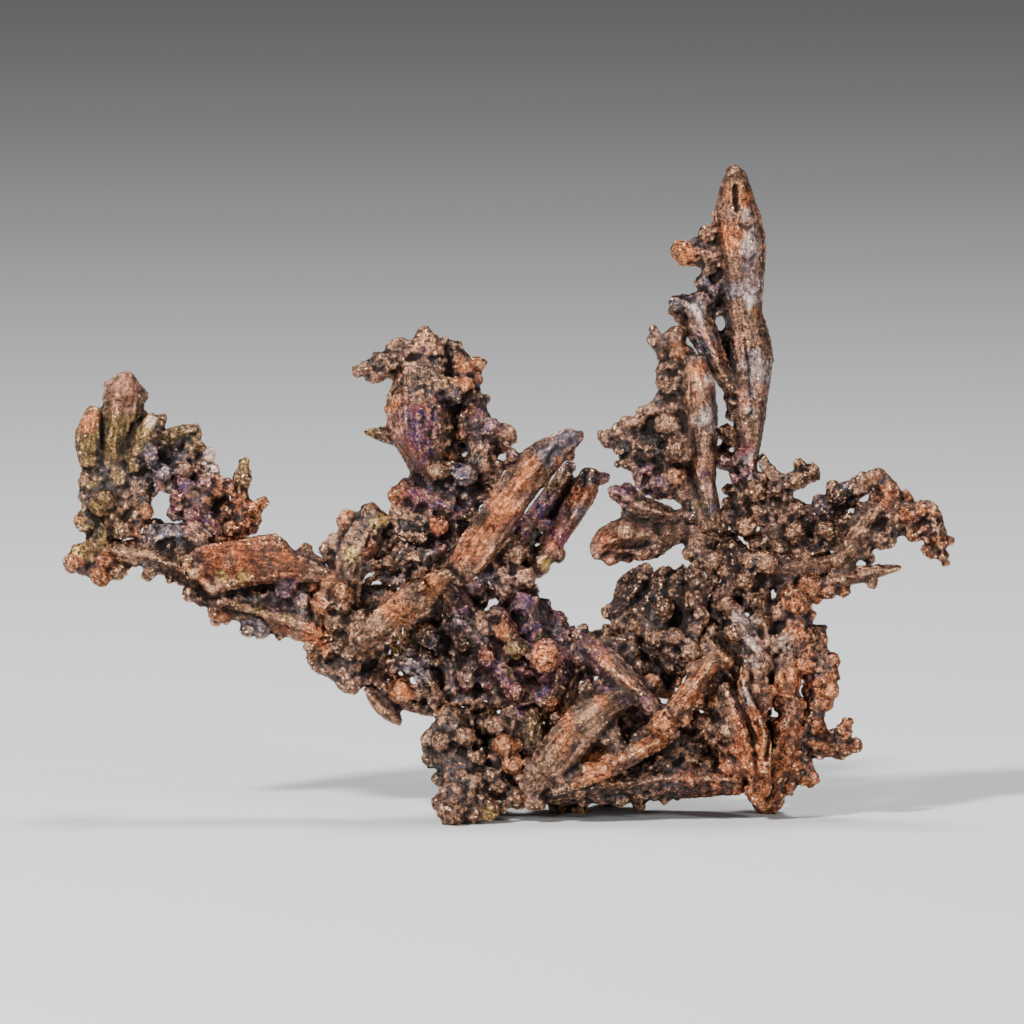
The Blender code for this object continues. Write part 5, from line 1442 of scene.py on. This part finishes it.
def rubbed_and_highlit(tree, at, colour, wear_and_highlight):
    """The colour with its crests rubbed back to pink copper, which is also a painted highlight, and the
    share of painted glints.
    """
    crest = times(tree, ranged(tree, at["fine"], 0.00001, 0.00010), ranged(tree, at["middle"], 0.42, 0.58))
    bright = times(tree, times(tree, crest, wear_and_highlight), ranged(tree, at["dust"], 0.44, 0.62))
    # Crests get worn pink copper, which is also a painted highlight.
    worn_and_highlit = mix_colour(tree, bright, colour, WORN_AND_HIGHLIT_COPPER)
    # A few cells on the sharpest crests get a painted glint.
    sharp_crest = ranged(tree, at["fine"], 0.00004, 0.00012)
    glint = times(tree, ranged(tree, at["glints"][1], 0.68, 0.78), sharp_crest)
    return mix_colour(tree, glint, worn_and_highlit, GLINT_COPPER), glint


def oxide_and_shade_share(tree, at):
    """How much dark oxide and painted shade lie in the hollows, large, middling and small, and how much dark
    oxide lies in specks.
    """
    hollow = times(tree, ranged(tree, at["broad"], -0.00002, -0.00026), 0.90)
    deep_hollow = times(tree, ranged(tree, at["deep"], 0.00005, -0.00060), 0.90)
    fine_hollow = times(tree, ranged(tree, at["fine"], -0.00002, -0.00009), 0.85)
    specks = times(tree, ranged(tree, noise(tree, at["place"], SPECK_SIZE, 2.0, 0.7), 0.42, 0.32), 0.35)
    small = times(tree, larger(tree, fine_hollow, specks), ranged(tree, at["bare"], 0.2, 1.0, 1.0, 0.60))
    return larger(tree, larger(tree, hollow, small), deep_hollow)


def broken_surface(tree, at):
    """The way the surface faces, tilted crystal by crystal and roughened by fine grit."""
    grit = plus(tree, noise(tree, at["place"], FROST_SIZE, 3.0, 0.7), times(tree, at["middle"], 0.6))
    straight = put(tree, "ShaderNodeNewGeometry").outputs["Normal"]
    facet_tilt = scaled(tree, at["facet_tilt"], FACET_TILT)
    tilt = vector_maths(tree, "ADD", facet_tilt, scaled(tree, at["glint_tilt"], GLINT_TILT))
    tilted = vector_maths(tree, "NORMALIZE", vector_maths(tree, "ADD", straight, tilt))
    inputs = {"Strength": 1.0, "Distance": GRIT_HEIGHT, "Height": grit, "Normal": tilted}
    return put(tree, "ShaderNodeBump", inputs).outputs[0]


print("five layers ready")

# %% Make the four coppers
def copper_material(name, metal, roughness, wear_and_highlight, film_strength):
    """A tarnished copper. Wear and highlight says how much pink metal shows on the crests, worn and as a
    painted highlight, and film how much oil colour.
    """
    material = bpy.data.materials.new(name)
    material.use_nodes = True
    tree = material.node_tree
    shader = tree.nodes["Principled BSDF"]
    at = metal_textures(tree)
    colour = filmed(tree, at, tarnished(tree, at), film_strength)
    colour, glint = rubbed_and_highlit(tree, at, colour, wear_and_highlight)
    # Hollows turn near black: dark oxide, and painted shade as well.
    oxide_and_shade = oxide_and_shade_share(tree, at)
    tree.links.new(mix_colour(tree, oxide_and_shade, colour, DARK_OXIDE_AND_SHADE), shader.inputs["Base Color"])
    shader.inputs["Metallic"].default_value = metal
    spread = ranged(tree, at["middle"], 0.3, 0.7, roughness - 0.10, roughness + 0.12)
    gloss = minus(tree, spread, times(tree, glint, 0.12))
    tree.links.new(plus(tree, gloss, times(tree, oxide_and_shade, 0.2)), shader.inputs["Roughness"])
    tree.links.new(broken_surface(tree, at), shader.inputs["Normal"])
    return material


COPPERS = {
    "earthy_copper": copper_material("earthy_copper", 0.90, 0.34, 0.60, 0.7),
    "bright_copper": copper_material("bright_copper", 1.0, 0.29, 0.80, 0.6),
    "iridescent_copper": copper_material("iridescent_copper", 1.0, 0.28, 0.60, 0.8),
    "blade_copper": copper_material("blade_copper", 1.0, 0.29, 0.65, 0.7),
}
print(sorted(COPPERS), "are ready")

# %% [markdown]
# ## Handing the branches over
#
# Each branch now stands for its coarse solid, rides with the one body of the specimen, and takes
# one of the four finishes.

# %% Dress the branches and put them on the body
FINISH_OF = {
    "earthy_copper": (
        "base_crust", "lower_left_block", "shoulder_cluster", "spire_side", "leaf_branch", "arm_root",
        "left_tip",
    ),
    "bright_copper": ("right_trunk", "granular_edge", "right_branch"),
    "iridescent_copper": ("centre_mass", "short_fingers", "head_branch", "left_bush"),
    "blade_copper": ("spire", "blade_branch", "left_arm"),
}
for finish, names in FINISH_OF.items():
    for name in names:
        piece = crusts[name]
        piece.data.materials.clear()
        piece.data.materials.append(COPPERS[finish])
        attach(piece, "root")
        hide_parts(name)
print(len(crusts), "pieces ride on the root body")

# %% [markdown]
# ## Floor, light and camera
#
# The floor is a plain pale disc, large enough to fill the view. The light is soft and comes mostly
# from the upper left, with a weaker fill from the right, so that the metal keeps its dark side. The
# camera is far off with a long lens, six degrees above the floor, which squares the board up.

# %% Lay the floor
FLOOR_RADIUS = 9.0
FLOOR_GREY = (0.55, 0.55, 0.55, 1.0)
floor_shape = bmesh.new()
bmesh.ops.create_circle(floor_shape, cap_ends=True, segments=96, radius=FLOOR_RADIUS)
floor_mesh = bpy.data.meshes.new("floor")
floor_shape.to_mesh(floor_mesh)
floor_shape.free()
floor = link_object("floor", floor_mesh)
floor_material = bpy.data.materials.new("pale_floor")
floor_material.use_nodes = True
floor_shader = floor_material.node_tree.nodes["Principled BSDF"]
floor_shader.inputs["Base Color"].default_value = FLOOR_GREY
floor_shader.inputs["Roughness"].default_value = 0.9
floor_mesh.materials.append(floor_material)
print("a floor of", FLOOR_RADIUS, "m radius")

# %% Set the light
MIDDLE = Vector((0.0, 0.0, 0.055))
ROOM_COLOUR = (0.80, 0.82, 0.86, 1.0)
ROOM_STRENGTH = 0.12
LAMPS = (
    ("key_light", (-0.65, -0.62, 0.80), 0.12, 29.5),
    ("fill_light", (0.80, -0.60, 0.35), 0.14, 6.0),
    ("low_light", (-0.25, -1.05, 0.25), 0.18, 3.0),
    ("top_light", (0.05, 0.25, 0.95), 0.24, 10.0),
)


def soft_lamp(name, place, size, power):
    """A square lamp that looks at the middle of the growth."""
    light = bpy.data.lights.new(name, "AREA")
    light.size = size
    light.energy = power
    lamp = bpy.data.objects.new(name, light)
    lamp.location = place
    lamp.rotation_euler = (MIDDLE - Vector(place)).to_track_quat("-Z", "Y").to_euler()
    bpy.context.scene.collection.objects.link(lamp)


for lamp in LAMPS:
    soft_lamp(*lamp)
world = bpy.data.worlds.new("soft_room")
world.use_nodes = True
sky = world.node_tree.nodes["Background"]
sky.inputs["Color"].default_value = ROOM_COLOUR
sky.inputs["Strength"].default_value = ROOM_STRENGTH
bpy.context.scene.world = world
print(len(LAMPS), "soft lamps")

# %% Place the camera
CAMERA_DISTANCE = 2.5
SENSOR = 36.0
VIEW_UNITS = 1024.0
aim = from_board(512.0, 512.0, MIDDLE_BACK)
camera_data = bpy.data.cameras.new("camera")
camera_data.sensor_width = SENSOR
camera_data.lens = SENSOR * CAMERA_DISTANCE / (VIEW_UNITS * BOARD_UNIT)
camera_data.clip_end = 30.0
camera = bpy.data.objects.new("camera", camera_data)
camera.location = aim - INTO_BOARD * CAMERA_DISTANCE
camera.rotation_euler = INTO_BOARD.to_track_quat("-Z", "Y").to_euler()
bpy.context.scene.collection.objects.link(camera)
bpy.context.scene.camera = camera
print("lens", round(camera_data.lens), "mm at", CAMERA_DISTANCE, "m")
